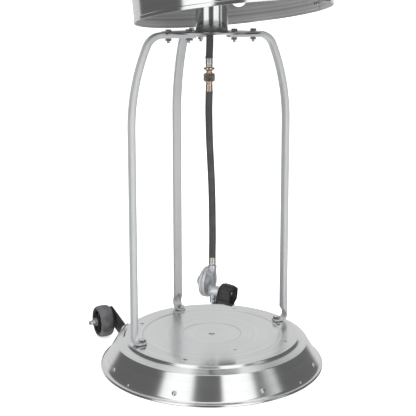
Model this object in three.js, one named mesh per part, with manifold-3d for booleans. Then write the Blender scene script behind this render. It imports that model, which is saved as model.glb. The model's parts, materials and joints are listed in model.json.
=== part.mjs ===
// Free-standing gas patio heater: a round sheet-steel base with two transport wheels, three bent
// tube legs round the tank bay, a tube post with a lift-up tank cover, and a gas-fired head under
// a round reflector. Millimetres, +Z up. The origin is on the floor under the middle of the post.
// The wheels are at the back (+Y), the controls and the open side of the tank bay at the front.

import * as THREE from 'three';
import { mergeVertices } from 'three/addons/utils/BufferGeometryUtils.js';
import Module from 'manifold-3d';

const wasm = await Module();
wasm.setup();

// ---------------------------------------------------------------- driving dimensions

const GAP = 0.3; // between pieces that touch
const ROUND = 36; // sides of the large turned sheets
const SMALL = 12; // sides of small turned pieces

// base pan
const RIM_RADIUS = 230;
const BEAD_RADIUS = 2.8;
const PLATEAU_RADIUS = 178.5;
const PLATEAU_HEIGHT = 61;
const LEDGE_FOOT = [182.5, 55.5]; // radius and height where the ledge for the tank cover starts
const BASE_SHEET = 1.2;
const CONE_TOP = [197.2, 50];
const CONE_FOOT = [222.5, 8];
const CONE_HOLE = { radius: 2.6, height: 18 };
const PANEL_RADIUS = 144; // pressed step in the plateau
const HUB_RADIUS = 62; // inner pressed ring

// legs
const LEG_TURNS = { right: 0, back: 90, left: 180 }; // degrees about the post
const LEG_WIDTH = 18;
const LEG_DEPTH = 12;
const LEG_CORNER = 4;
const LEG_RADIUS = 171.5; // the upright stretch
const ARM_START = 37;
const SHOULDER_BEND = 35;
const SHOULDER_TURN = 66.6; // degrees, from level to the start of the long curve
const LONG_CURVE = 403;
const FOOT_BOLT_RADIUS = 155.5;
const FOOT_THICKNESS = 4.4;
const FOOT_WIDTH = 20;
const FOOT_BEND = 12;
const FOOT_TIP = 146; // radius
const PRESSED = { from: 28, to: 13 }; // heights above the foot between which the leg is pressed flat
const FOOT_SCREW = { radius: 4, hole: 4.4, head: 13, headHeight: 6 };

// flange and post
const FLANGE_TOP = 680;
const FLANGE_THICKNESS = 3.4;
const FLANGE_RADIUS = 100;
const ARM_CENTRE = FLANGE_TOP - LEG_DEPTH / 2; // the flange is let into the arms
const ARM_BOLT_RADII = { inner: 50, outer: 93 };
const BOLT_RADIUS = 3;
const BOLT_HOLE = 3.4;
const POST_RADIUS = 31.75;
const POST_WALL = 1.5;
const POST_TOP = 1520;

// transport wheels
const WHEELS_TURN = 1.07; // degrees that the pair of wheels is turned about the post
const WHEEL_CENTRE = [0, 234.9, 35.4];
const WHEEL_SPREAD = 151.1; // from the pair's middle plane to the middle of each tread
const WHEEL_RADIUS = 35;
const WHEEL_WIDTH = 30;
const WHEEL_HUB_RADIUS = 27;
const BRACKET_SPREAD = 130.6;
const BRACKET_THICKNESS = 3;
const AXLE_RADIUS = 5;
const AXLE_TIP = 19; // beyond the tread

// gas line
const HOSE_RADIUS = 7.15;
const UPPER_FERRULE = [628, 610];
const COUPLING = [609.7, 562];
const LOWER_FERRULE = [222, 205.5];
const REGULATOR_TURN = -54; // degrees about +Z that the inlet points to
const REGULATOR_HEIGHT = 168.7; // middle of the disc
const DISC_RADIUS = 31.5;
const INLET_DROP = 17.5; // from the middle of the disc to the inlet's axis
const NUT_DROP = 19.8; // the loose hand nut hangs below the inlet's axis
const NUT_START = 20.6; // from the outlet's axis
const NUT_DIP = 6; // degrees that the loose hand nut droops
const NUT_LENGTH = 28.5;
const NUT_RADIUS = 20.6;

// tank cover, held up and leaning back
const COVER_RADIUS = 187.6;
const COVER_SHEET = 0.8;
const COVER_HEIGHT = 620;
const COVER_LEAN = 8.56; // degrees
const COVER_LEAN_TURN = 103.4; // degrees about +Z of the lowest point of its rim
const COVER_PIVOT = [-11.1, 16.7, 1325.4];
const COVER_HOLE = 57;
const HAND_HOLE_RADIUS = 17;
const HAND_HOLE_HEIGHT = 52;
const HAND_HOLE_TURN = 58; // degrees about the cover's axis, seen from above
const SEAM_TURNS = { right: 0, left: 180 };

// head
const HOUSING_RADIUS = 100;
const HOUSING_TOP = 1700;
const DECK_RADIUS = 128;
const SCREEN_RADIUS = 118;
const SCREEN_TOP = 2036;
const FLAME_GUARD_RADIUS = 132;
const REFLECTOR_RADIUS = 406.5;
const REFLECTOR_RIM = 2112;
const REFLECTOR_FLAT = 2196;
const STUD_RADIUS = 90;
const VALVE_CENTRE = [0, -40, 1600];

// ---------------------------------------------------------------- small tools

const group = new THREE.Group();
const degrees = THREE.MathUtils.degToRad;

function material(colour, roughness, metalness) {
  return new THREE.MeshStandardMaterial({ color: colour, roughness, metalness });
}

const STEEL = material(0xc9cccd, 0.28, 1);
const PAINT = material(0xccd2d7, 0.45, 0.6);
const DARK_STEEL = material(0x55585a, 0.35, 1);
const ZINC = material(0xb4b8bb, 0.4, 1);
const BRASS = material(0xc89a78, 0.3, 1);
const CASTING = material(0xa9afb3, 0.5, 0.9);
const RUBBER = material(0x2b2b2b, 0.75, 0);
const BLACK_PLASTIC = material(0x161616, 0.4, 0);
const BLACK_PAINT = material(0x1d1d1e, 0.5, 0.2);
const CERAMIC = material(0xe6e2d6, 0.5, 0);

function add(name, geometry, finish, place) {
  const mesh = new THREE.Mesh(geometry, finish);
  mesh.name = name;
  if (place) place(mesh);
  group.add(mesh);
  return mesh;
}

function solid(geometry) {
  const bare = geometry.clone();
  bare.deleteAttribute('normal');
  bare.deleteAttribute('uv');
  const merged = mergeVertices(bare, 1e-4);
  return new wasm.Manifold(new wasm.Mesh({
    numProp: 3,
    vertProperties: new Float32Array(merged.attributes.position.array),
    triVerts: new Uint32Array(merged.index.array),
  }));
}

function geometryOf(manifold) {
  const mesh = manifold.getMesh();
  const geometry = new THREE.BufferGeometry();
  geometry.setAttribute('position', new THREE.BufferAttribute(mesh.vertProperties, 3));
  geometry.setIndex(new THREE.BufferAttribute(mesh.triVerts, 1));
  geometry.computeVertexNormals();
  return geometry;
}

function cut(geometry, ...tools) {
  return geometryOf(tools.reduce((body, tool) => body.subtract(solid(tool)), solid(geometry)));
}

function join(geometry, ...others) {
  return geometryOf(others.reduce((body, other) => body.add(solid(other)), solid(geometry)));
}

// A turned solid about +Z from [radius, height] points that close on themselves or on the axis.
function turned(points, sides = SMALL) {
  const profile = points.map(([radius, height]) => new THREE.Vector2(radius, height));
  if (THREE.ShapeUtils.area(profile) < 0) profile.reverse();
  if (points[0][0] > 0 || points[points.length - 1][0] > 0) profile.push(profile[0].clone());
  return new THREE.LatheGeometry(profile, sides).rotateX(Math.PI / 2);
}

function rod(radius, low, high, sides = SMALL) {
  return turned([[0, low], [radius, low], [radius, high], [0, high]], sides);
}

function ring(inner, outer, low, high, sides = SMALL) {
  return turned([[inner, low], [outer, low], [outer, high], [inner, high]], sides);
}

function box(width, depth, height, x, y, z) {
  return new THREE.BoxGeometry(width, depth, height).translate(x, y, z);
}

function hexagon(acrossFlats, low, high) {
  return rod(acrossFlats / Math.sqrt(3), low, high, 6);
}

// A closed outline of [x, y] points pushed up from low to high.
function plate(points, low, high) {
  const shape = new THREE.Shape(points.map(([x, y]) => new THREE.Vector2(x, y)));
  const options = { depth: high - low, bevelEnabled: false };
  return new THREE.ExtrudeGeometry(shape, options).translate(0, 0, low);
}

// Places for a mesh: moved to a point, or spun about the post.
function at(x, y, z = 0) {
  return (mesh) => {
    mesh.position.set(x, y, z);
  };
}

function spun(turn) {
  return (mesh) => {
    mesh.rotation.z = degrees(turn);
  };
}

// A curve that passes its stations one by one, so a sweep keeps close steps in the bends.
// With a side direction, the section's X stays along it: the route then lies in one plane.
class Route extends THREE.Curve {
  constructor(stations, side) {
    super();
    this.stations = stations;
    this.side = side;
  }

  getPoint(t, target = new THREE.Vector3()) {
    const place = Math.min(t, 1) * (this.stations.length - 1);
    const index = Math.min(Math.floor(place), this.stations.length - 2);
    return target.lerpVectors(this.stations[index], this.stations[index + 1], place - index);
  }

  getPointAt(u, target) {
    return this.getPoint(u, target);
  }

  getTangentAt(u, target = new THREE.Vector3()) {
    const last = this.stations.length - 1;
    const index = Math.round(u * last);
    const before = this.stations[Math.max(index - 1, 0)];
    const after = this.stations[Math.min(index + 1, last)];
    return target.subVectors(after, before).normalize();
  }

  computeFrenetFrames(segments, closed) {
    if (!this.side) return super.computeFrenetFrames(segments, closed);
    const tangents = this.stations.map((_, index) => this.getTangentAt(index / segments));
    const normals = tangents.map(() => this.side.clone());
    const binormals = tangents.map((tangent) => tangent.clone().cross(this.side).normalize());
    return { tangents, normals, binormals };
  }
}

function sweep(section, stations, side) {
  const shape = new THREE.Shape(section.map(([x, y]) => new THREE.Vector2(x, y)));
  const extrudePath = new Route(stations, side);
  return new THREE.ExtrudeGeometry(shape, { steps: stations.length - 1, extrudePath });
}

function circle(radius, sides) {
  return Array.from({ length: sides }, (_, index) => {
    const turn = (2 * Math.PI * index) / sides;
    return [radius * Math.cos(turn), radius * Math.sin(turn)];
  });
}

// Points along an arc in the XZ plane, from one angle to another in degrees.
function arc(centreX, centreZ, radius, from, to, steps) {
  return Array.from({ length: steps + 1 }, (_, index) => {
    const turn = degrees(from + ((to - from) * index) / steps);
    return new THREE.Vector3(centreX + radius * Math.cos(turn), 0, centreZ + radius * Math.sin(turn));
  });
}

function tube(radius, points, steps, sides = 8) {
  const shape = new THREE.Shape(circle(radius, sides).map(([x, y]) => new THREE.Vector2(x, y)));
  const extrudePath = new THREE.CatmullRomCurve3(points.map((point) => new THREE.Vector3(...point)));
  return new THREE.ExtrudeGeometry(shape, { steps, extrudePath });
}

function polar(radius, turn) {
  return [radius * Math.cos(degrees(turn)), radius * Math.sin(degrees(turn))];
}

// ---------------------------------------------------------------- base

function basePan() {
  const t = BASE_SHEET;
  const pan = turned([
    [4.5, PLATEAU_HEIGHT - 4.4],
    [16, PLATEAU_HEIGHT - 2.4],
    [HUB_RADIUS - 2, PLATEAU_HEIGHT - 2.4],
    [HUB_RADIUS, PLATEAU_HEIGHT - 1.2],
    [PANEL_RADIUS - 2, PLATEAU_HEIGHT - 1.2],
    [PANEL_RADIUS, PLATEAU_HEIGHT],
    [PLATEAU_RADIUS, PLATEAU_HEIGHT],
    LEDGE_FOOT,
    CONE_TOP,
    CONE_FOOT,
    [RIM_RADIUS - BEAD_RADIUS, 2 * BEAD_RADIUS],
    [RIM_RADIUS, BEAD_RADIUS],
    [RIM_RADIUS - 1, 0],
    [RIM_RADIUS - 5, 0],
    [CONE_FOOT[0] - 1.6, CONE_FOOT[1] - 0.6],
    [CONE_TOP[0] - 1.4, CONE_TOP[1] - 1.5],
    [LEDGE_FOOT[0] - 1.4, LEDGE_FOOT[1] - 1.6],
    [PLATEAU_RADIUS - t, PLATEAU_HEIGHT - 1.2 - t],
    [HUB_RADIUS - 1.5, PLATEAU_HEIGHT - 2.4 - t],
    [16.5, PLATEAU_HEIGHT - 2.4 - t],
    [4.5, PLATEAU_HEIGHT - 4.4 - t],
  ], ROUND);
  const holes = Object.values(LEG_TURNS).map((turn) => {
    const [x, y] = polar(FOOT_BOLT_RADIUS, turn);
    return rod(FOOT_SCREW.hole, PLATEAU_HEIGHT - 5, PLATEAU_HEIGHT + 5, 8).translate(x, y, 0);
  });
  for (let turn = 45; turn < 360; turn += 90) {
    const [x, y] = polar(FOOT_BOLT_RADIUS + 1, turn);
    holes.push(rod(3, PLATEAU_HEIGHT - 5, PLATEAU_HEIGHT + 5, 6).translate(x, y, 0));
  }
  holes.push(rod(2.5, PLATEAU_HEIGHT - 5, PLATEAU_HEIGHT + 5, 6).translate(0, -104.5, 0));
  holes.push(rod(CONE_HOLE.radius, 205, 235, 8).rotateY(Math.PI / 2)
    .translate(0, 0, CONE_HOLE.height));
  add('base_pan', cut(pan, ...holes), STEEL);
}

// ---------------------------------------------------------------- legs

// The outline of a tube or bar with rounded corners, width along X.
function roundedOutline(width, depth, corner, steps) {
  const points = [];
  for (let quarter = 0; quarter < 4; quarter += 1) {
    const alongX = quarter === 0 || quarter === 3 ? 1 : -1;
    const alongY = quarter < 2 ? 1 : -1;
    for (let index = 0; index <= steps; index += 1) {
      const turn = degrees(90 * (quarter + index / steps));
      const x = alongX * (width / 2 - corner) + corner * Math.cos(turn);
      points.push([x, alongY * (depth / 2 - corner) + corner * Math.sin(turn)]);
    }
  }
  return points;
}

// One leg in the XZ plane: an arm with a pressed seat for the flange, a shoulder, a long curve
// and an upright stretch, whose inner wall is pressed against the outer wall and bent in as a
// foot.
function legShape() {
  const curveX = LEG_RADIUS - LONG_CURVE;
  const long = degrees(90 - SHOULDER_TURN);
  const shoulderEndX = curveX + LONG_CURVE * Math.cos(long);
  const shoulderX = shoulderEndX - SHOULDER_BEND * Math.sin(degrees(SHOULDER_TURN));
  const shoulderZ = ARM_CENTRE - SHOULDER_BEND;
  const shoulderEndZ = shoulderZ + SHOULDER_BEND * Math.cos(degrees(SHOULDER_TURN));
  const curveZ = shoulderEndZ - LONG_CURVE * Math.sin(long);
  const sideways = new THREE.Vector3(0, 1, 0);
  const footTop = PLATEAU_HEIGHT + GAP + FOOT_THICKNESS;
  const footZ = footTop - FOOT_THICKNESS / 2;
  const stripX = LEG_RADIUS + LEG_DEPTH / 2 - FOOT_THICKNESS / 2;
  const stations = [
    new THREE.Vector3(ARM_START, 0, ARM_CENTRE),
    ...arc(shoulderX, shoulderZ, SHOULDER_BEND, 90, 90 - SHOULDER_TURN, 6),
    ...arc(curveX, curveZ, LONG_CURVE, 90 - SHOULDER_TURN, 0, 6).slice(1),
    new THREE.Vector3(LEG_RADIUS, 0, footTop + PRESSED.to),
  ];
  const body = sweep(roundedOutline(LEG_WIDTH, LEG_DEPTH, LEG_CORNER, 2), stations, sideways);
  const innerX = LEG_RADIUS - LEG_DEPTH / 2;
  const wedge = plate([
    [innerX - 10, footTop - 5], [stripX, footTop - 5], [stripX, footTop + PRESSED.to],
    [innerX, footTop + PRESSED.from], [innerX - 10, footTop + PRESSED.from],
  ], -LEG_WIDTH, LEG_WIDTH).rotateX(Math.PI / 2);
  const strip = [
    new THREE.Vector3(stripX, 0, footTop + PRESSED.to + 5),
    ...arc(stripX - FOOT_BEND, footZ + FOOT_BEND, FOOT_BEND, 0, -90, 5),
    new THREE.Vector3(FOOT_TIP, 0, footZ),
  ];
  const foot = sweep(roundedOutline(FOOT_WIDTH, FOOT_THICKNESS, 1.4, 1), strip, sideways);
  const seatLow = FLANGE_TOP - FLANGE_THICKNESS - GAP;
  const seatEnd = FLANGE_RADIUS + 1.5;
  const seat = box(seatEnd, 2 * LEG_WIDTH, 10, seatEnd / 2, 0, seatLow + 5);
  const drills = Object.values(ARM_BOLT_RADII).map(
    (x) => rod(BOLT_HOLE, ARM_CENTRE - 10, ARM_CENTRE + 10, 8).translate(x, 0, 0),
  );
  drills.push(rod(FOOT_SCREW.hole, footTop - 10, footTop + 10, 8).translate(FOOT_BOLT_RADIUS, 0, 0));
  return cut(join(cut(body, wedge, seat), foot), ...drills);
}

function legs() {
  const shape = legShape();
  for (const [side, turn] of Object.entries(LEG_TURNS)) {
    add(`leg_${side}`, shape.clone(), PAINT, spun(turn));
  }
}

function footBolts() {
  const footTop = PLATEAU_HEIGHT + GAP + FOOT_THICKNESS;
  const under = PLATEAU_HEIGHT - 2 * BASE_SHEET - 2 * GAP;
  const bolt = join(
    rod(FOOT_SCREW.radius, under - 9, footTop + 2, 8),
    hexagon(FOOT_SCREW.head, footTop + GAP, footTop + FOOT_SCREW.headHeight),
    hexagon(FOOT_SCREW.head, under - 6.5, under),
  );
  for (const [side, turn] of Object.entries(LEG_TURNS)) {
    add(`foot_bolt_${side}`, bolt.clone(), ZINC, at(...polar(FOOT_BOLT_RADIUS, turn)));
  }
}

// ---------------------------------------------------------------- flange and post

function postFlange() {
  const low = FLANGE_TOP - FLANGE_THICKNESS;
  const holes = [];
  for (const turn of Object.values(LEG_TURNS)) {
    for (const radius of Object.values(ARM_BOLT_RADII)) {
      const [x, y] = polar(radius, turn);
      holes.push(rod(BOLT_HOLE, low - 5, FLANGE_TOP + 5, 8).translate(x, y, 0));
    }
  }
  const disc = ring(24, FLANGE_RADIUS, low, FLANGE_TOP, ROUND);
  add('post_flange', cut(disc, ...holes), DARK_STEEL);
}

function flangeBolts() {
  const armBottom = ARM_CENTRE - LEG_DEPTH / 2 - GAP;
  const bolt = join(
    rod(BOLT_RADIUS, armBottom - 9, FLANGE_TOP + 3, 6),
    hexagon(10.5, FLANGE_TOP + GAP, FLANGE_TOP + 5.8),
    hexagon(10.5, armBottom - 5, armBottom),
  );
  for (const [side, turn] of Object.entries(LEG_TURNS)) {
    for (const [row, radius] of Object.entries(ARM_BOLT_RADII)) {
      add(`flange_bolt_${side}_${row}`, bolt.clone(), ZINC, at(...polar(radius, turn)));
    }
  }
}

function post() {
  const bore = POST_RADIUS - POST_WALL;
  add('post', ring(bore, POST_RADIUS, FLANGE_TOP + GAP, POST_TOP, 24), STEEL);
}

// ---------------------------------------------------------------- wheels

// The bracket's side outline in the YZ plane; its near edge follows the slope of the base.
function bracketShape() {
  const [, wheelY, wheelZ] = WHEEL_CENTRE;
  const outline = [
    [150.8, 48.5], [wheelY, wheelZ + 31.5], [wheelY + 10, wheelZ + 28], [wheelY + 17, wheelZ + 18],
    [wheelY + 19, wheelZ + 4], [wheelY + 16, wheelZ - 9], [wheelY - 21, 22], [193.3, 17], [176.8, 15],
  ];
  const side = plate(outline, -BRACKET_THICKNESS / 2, BRACKET_THICKNESS / 2);
  side.applyMatrix4(new THREE.Matrix4().set(0, 0, 1, 0, 1, 0, 0, 0, 0, 1, 0, 0, 0, 0, 0, 1));
  const drill = rod(AXLE_RADIUS + 0.4, -10, 10, 12).rotateY(Math.PI / 2).translate(0, wheelY, wheelZ);
  return cut(side, drill);
}

// A tab that lies along the slope of the base beside the side plate.
function bracketTab(side) {
  const turn = side > 0 ? 48.7 : 131.3;
  const slope = Math.atan2(CONE_TOP[1] - CONE_FOOT[1], CONE_FOOT[0] - CONE_TOP[0]);
  const middleZ = 33;
  const coneRadius = CONE_FOOT[0] - (middleZ - CONE_FOOT[1]) / Math.tan(slope);
  return box(2.4, 24, 40, GAP + 1.5, 0, 0)
    .rotateY(slope - Math.PI / 2)
    .translate(coneRadius, 0, middleZ)
    .rotateZ(degrees(turn));
}

function wheelHub() {
  const half = WHEEL_WIDTH / 2;
  const bore = AXLE_RADIUS + 0.6;
  return turned([
    [bore, -half + 1], [10, -half + 1], [10, -3], [WHEEL_HUB_RADIUS - 2.7, -3],
    [WHEEL_HUB_RADIUS - 2.7, -half + 2], [WHEEL_HUB_RADIUS, -half + 2],
    [WHEEL_HUB_RADIUS, half - 2], [WHEEL_HUB_RADIUS - 2.7, half - 2],
    [WHEEL_HUB_RADIUS - 2.7, 3], [10, 3], [10, half - 1], [bore, half - 1],
  ], 12);
}

function wheelTyre() {
  const half = WHEEL_WIDTH / 2;
  return turned([
    [WHEEL_HUB_RADIUS + 1, -half], [WHEEL_RADIUS - 4, -half], [WHEEL_RADIUS - 0.6, -half + 5],
    [WHEEL_RADIUS, 0], [WHEEL_RADIUS - 0.6, half - 5], [WHEEL_RADIUS - 4, half],
    [WHEEL_HUB_RADIUS + 1, half],
  ], 20);
}

function axleBolt() {
  const inner = BRACKET_SPREAD - WHEEL_SPREAD - BRACKET_THICKNESS / 2 - GAP;
  const outer = WHEEL_WIDTH / 2;
  return join(
    rod(AXLE_RADIUS, inner - 2, outer + AXLE_TIP, 12),
    hexagon(16, inner - 6, inner),
    hexagon(14, outer + 3, outer + 10),
    ring(AXLE_RADIUS - 0.5, 9, outer + 1, outer + 3.4),
  );
}

function wheels() {
  const bracket = bracketShape();
  const [, wheelY, wheelZ] = WHEEL_CENTRE;
  for (const [side, sign] of [['left', -1], ['right', 1]]) {
    const moved = bracket.clone().translate(sign * BRACKET_SPREAD, 0, 0);
    add(`wheel_bracket_${side}`, join(moved, bracketTab(sign)), BLACK_PAINT, spun(WHEELS_TURN));
    const hung = new THREE.Vector3(sign * WHEEL_SPREAD, wheelY, wheelZ);
    hung.applyAxisAngle(new THREE.Vector3(0, 0, 1), degrees(WHEELS_TURN));
    const onAxle = (mesh) => {
      mesh.position.copy(hung);
      mesh.rotation.set(0, (sign * Math.PI) / 2, degrees(WHEELS_TURN), 'ZYX');
    };
    add(`wheel_hub_${side}`, wheelHub(), BLACK_PLASTIC, onAxle);
    add(`wheel_tyre_${side}`, wheelTyre(), RUBBER, onAxle);
    add(`axle_bolt_${side}`, axleBolt(), ZINC, onAxle);
  }
}

// ---------------------------------------------------------------- gas line

// The hose hangs out of the post a little left of its middle and sways to the right lower down.
const HOSE_ROUTE = [
  [-4.5, 2.2, 561.7], [-4.9, 2.4, 545], [-5.2, 2.6, 525], [-4.9, 2.4, 505], [-4.5, 2.2, 485],
  [-3.9, 1.9, 464], [-3.1, 1.5, 444], [-2.2, 1.1, 424], [-1.3, 0.6, 403], [-0.5, 0.2, 383],
  [0.2, -0.1, 362], [0.7, -0.3, 341], [1, -0.5, 320], [1.2, -0.6, 300], [1.4, -0.7, 279],
  [1.4, -0.7, 258], [1.2, -0.6, 240], [1.1, -0.5, 222.3],
];
const UPPER_ROUTE = [
  [-4.5, 2.2, 628.3], [-3.6, 1.8, 650], [-3.2, 1.6, 680], [-2, 1, 900], [-1, 1, 1200],
  [-1, 0, 1430], [-1, -5, 1470], [0, -13, 1505], [0, -23, 1530], [0, -33, 1549], [0, -39, 1562],
  [0, -40, 1570], [0, -40, 1577],
];

function gasHoses() {
  const [hoseX, hoseY] = HOSE_ROUTE[0];
  const [endX, endY] = HOSE_ROUTE[HOSE_ROUTE.length - 1];
  const onTop = at(hoseX, hoseY);
  const onEnd = at(endX, endY);
  add('upper_hose', tube(HOSE_RADIUS, UPPER_ROUTE, 28), RUBBER);
  const [ferruleTop, ferruleLow] = UPPER_FERRULE;
  add('upper_ferrule', turned([
    [0, ferruleLow], [7, ferruleLow], [7.2, ferruleLow + 3], [6.8, ferruleLow + 5],
    [7.4, ferruleLow + 9], [7.4, ferruleTop], [0, ferruleTop],
  ]), ZINC, onTop);
  const [high, low] = COUPLING;
  add('hose_barb', turned([
    [0, high - 9.7], [5.7, high - 9.7], [5.7, high - 6.5], [9.5, high - 4.5], [11, high - 3],
    [11, high], [0, high],
  ]), BRASS, onTop);
  const nutTop = high - 10;
  const nutLow = high - 28;
  add('coupling_nut', join(
    hexagon(19.5, nutLow + 1, nutTop - 2),
    turned([[0, nutLow], [8.6, nutLow], [8.6, nutTop - 1.5], [6.4, nutTop], [0, nutTop]]),
  ), BRASS, onTop);
  add('coupling_tail', turned([
    [0, low], [7.3, low], [7.3, low + 3], [6.8, low + 4.5], [6.8, nutLow - 2], [6, nutLow - GAP],
    [0, nutLow - GAP],
  ]), BRASS, onTop);
  add('lower_hose', tube(HOSE_RADIUS, HOSE_ROUTE, 20), RUBBER);
  const [endTop, endLow] = LOWER_FERRULE;
  add('lower_ferrule', turned([
    [0, endLow], [6.6, endLow], [7.3, endLow + 1.5], [7.4, endTop], [0, endTop],
  ]), ZINC, onEnd);
}

// The regulator is drawn about its disc's axis: +Z towards the inlet, +X down, and the outlet's
// upright axis crosses it at the origin. Then it is turned into place under the hose.
function placeRegulator(geometry) {
  const [endX, endY] = HOSE_ROUTE[HOSE_ROUTE.length - 1];
  return geometry
    .rotateY(degrees(90))
    .rotateZ(degrees(REGULATOR_TURN))
    .translate(endX, endY, REGULATOR_HEIGHT);
}

// The hand nut hangs loose on the inlet nipple, a little low and drooping.
function placeNut(geometry) {
  return placeRegulator(geometry.rotateY(degrees(NUT_DIP)).translate(NUT_DROP, 0, NUT_START));
}

function regulatorBody() {
  const rim = DISC_RADIUS;
  const outlet = LOWER_FERRULE[1] - GAP - REGULATOR_HEIGHT;
  const disc = turned([
    [0, -10.5], [rim, -10.5], [rim, -6], [rim - 2, -4], [24, -2.5], [14, 2], [0, 3],
  ], 20);
  const neck = turned([[0, -3], [3.4, -3], [8.2, outlet - 7], [8.2, outlet], [0, outlet]], 16)
    .rotateY(-Math.PI / 2);
  const inlet = rod(10.5, -5, NUT_START - 1.2, 16).translate(INLET_DROP, 0, 0);
  const lug = rod(6.5, 20, 43, 12).rotateY(Math.PI / 2).translate(0, 0, 1);
  return placeRegulator(join(disc, neck, inlet, lug));
}

function handNut() {
  const end = NUT_LENGTH;
  const grip = turned([
    [10.2, 0], [NUT_RADIUS - 0.8, 0], [NUT_RADIUS, 1.5], [NUT_RADIUS, end - 1],
    [NUT_RADIUS - 1, end], [NUT_RADIUS - 3.4, end], [NUT_RADIUS - 3.4, 5], [10.2, 5],
  ], 20);
  const ribs = [];
  for (let turn = 0; turn < 360; turn += 60) {
    ribs.push(box(4, 6, end - 7, NUT_RADIUS, 0, (end + 6) / 2).rotateZ(degrees(turn)));
  }
  return placeNut(join(grip, ...ribs));
}

function regulator() {
  const rim = DISC_RADIUS;
  add('regulator_body', regulatorBody(), CASTING);
  add('regulator_bonnet', placeRegulator(turned([
    [0, -22], [14, -22], [26, -18.5], [rim - 0.8, -17], [rim, -15.5], [rim, -10.8], [0, -10.8],
  ], 20)), CASTING);
  add('vent_cap', placeRegulator(turned([
    [0, -31], [8.5, -31], [10, -29.5], [10, -22.4], [0, -22.4],
  ])), CASTING);
  const start = NUT_START - 0.8;
  add('inlet_nipple', placeRegulator(turned([
    [0, start], [5.2, start], [5.2, 38], [3.4, 44], [2.6, 46], [0, 46],
  ]).translate(INLET_DROP, 0, 0)), BRASS);
  add('hand_nut', handNut(), BLACK_PLASTIC);
}

// ---------------------------------------------------------------- tank cover

// The cover is drawn upright with its top centre at the origin, then leans as it hangs.
function hangCover(mesh) {
  mesh.position.set(...COVER_PIVOT);
  const axis = new THREE.Vector3(...polar(1, COVER_LEAN_TURN + 90), 0);
  mesh.quaternion.setFromAxisAngle(axis, degrees(COVER_LEAN));
}

function coverPanel(sign) {
  const low = -COVER_HEIGHT;
  const inner = COVER_RADIUS;
  const outer = COVER_RADIUS + COVER_SHEET;
  const hem = outer + 1.2;
  const wall = turned([
    [inner, low], [hem, low], [hem, low + 7], [outer, low + 8], [outer, -GAP - 1], [inner, -GAP - 1],
  ], ROUND);
  const half = box(420, 210, COVER_HEIGHT + 40, 0, sign * (105 + GAP / 2), low / 2);
  const handHole = rod(HAND_HOLE_RADIUS, 150, 220, 20)
    .rotateY(Math.PI / 2)
    .rotateZ(degrees(HAND_HOLE_TURN))
    .translate(0, 0, low + HAND_HOLE_HEIGHT);
  return geometryOf(solid(wall).intersect(solid(half)).subtract(solid(handHole)));
}

function tankCover() {
  add('cover_back_panel', coverPanel(1), STEEL, hangCover);
  add('cover_front_panel', coverPanel(-1), STEEL, hangCover);
  const lip = COVER_RADIUS - GAP;
  const lid = turned([
    [COVER_HOLE, -1], [lip - 1, -1], [lip - 1, -16], [lip, -16], [lip, -1],
    [lip + COVER_SHEET + 0.6, -1], [lip + COVER_SHEET + 0.6, 0], [COVER_HOLE, 0],
  ], ROUND);
  add('cover_lid', lid, STEEL, hangCover);
  const strap = ring(COVER_RADIUS - 1.6, COVER_RADIUS - 0.8, 2 - COVER_HEIGHT, -20, ROUND);
  for (const [name, turn] of Object.entries(SEAM_TURNS)) {
    const window = box(40, 18, COVER_HEIGHT + 40, COVER_RADIUS, 0, -COVER_HEIGHT / 2)
      .rotateZ(degrees(turn));
    const piece = geometryOf(solid(strap).intersect(solid(window)));
    add(`cover_seam_${name}`, piece, STEEL, hangCover);
  }
}

function coverGuide() {
  const [, , pivotZ] = COVER_PIVOT;
  add('cover_guide', turned([
    [POST_RADIUS + 0.5, pivotZ - 28], [46, pivotZ - 28], [46, pivotZ - 17], [35.3, pivotZ - 14],
    [35.3, pivotZ + 12], [POST_RADIUS + 0.5, pivotZ + 12],
  ], 24), BLACK_PLASTIC);
}

// ---------------------------------------------------------------- head

function controlHousing() {
  const floor = POST_TOP + GAP;
  const shell = turned([
    [28, floor], [HOUSING_RADIUS, floor], [HOUSING_RADIUS, HOUSING_TOP - 14],
    [DECK_RADIUS - 6, HOUSING_TOP], [DECK_RADIUS - 9, HOUSING_TOP],
    [HOUSING_RADIUS - 1.4, HOUSING_TOP - 12.4], [HOUSING_RADIUS - 1.4, floor + 1.4],
    [28, floor + 1.4],
  ], 32);
  const [, , valveZ] = VALVE_CENTRE;
  const knobHole = rod(7, 80, 120).rotateX(Math.PI / 2).translate(0, 0, valveZ);
  const buttonHole = rod(10.5, 80, 120).rotateX(Math.PI / 2).rotateZ(degrees(34))
    .translate(0, 0, valveZ);
  add('control_housing', cut(shell, knobHole, buttonHole), STEEL);
}

function frontward(geometry, turn = 0) {
  const [, , valveZ] = VALVE_CENTRE;
  return geometry.rotateX(Math.PI / 2).rotateZ(degrees(turn)).translate(0, 0, valveZ);
}

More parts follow.
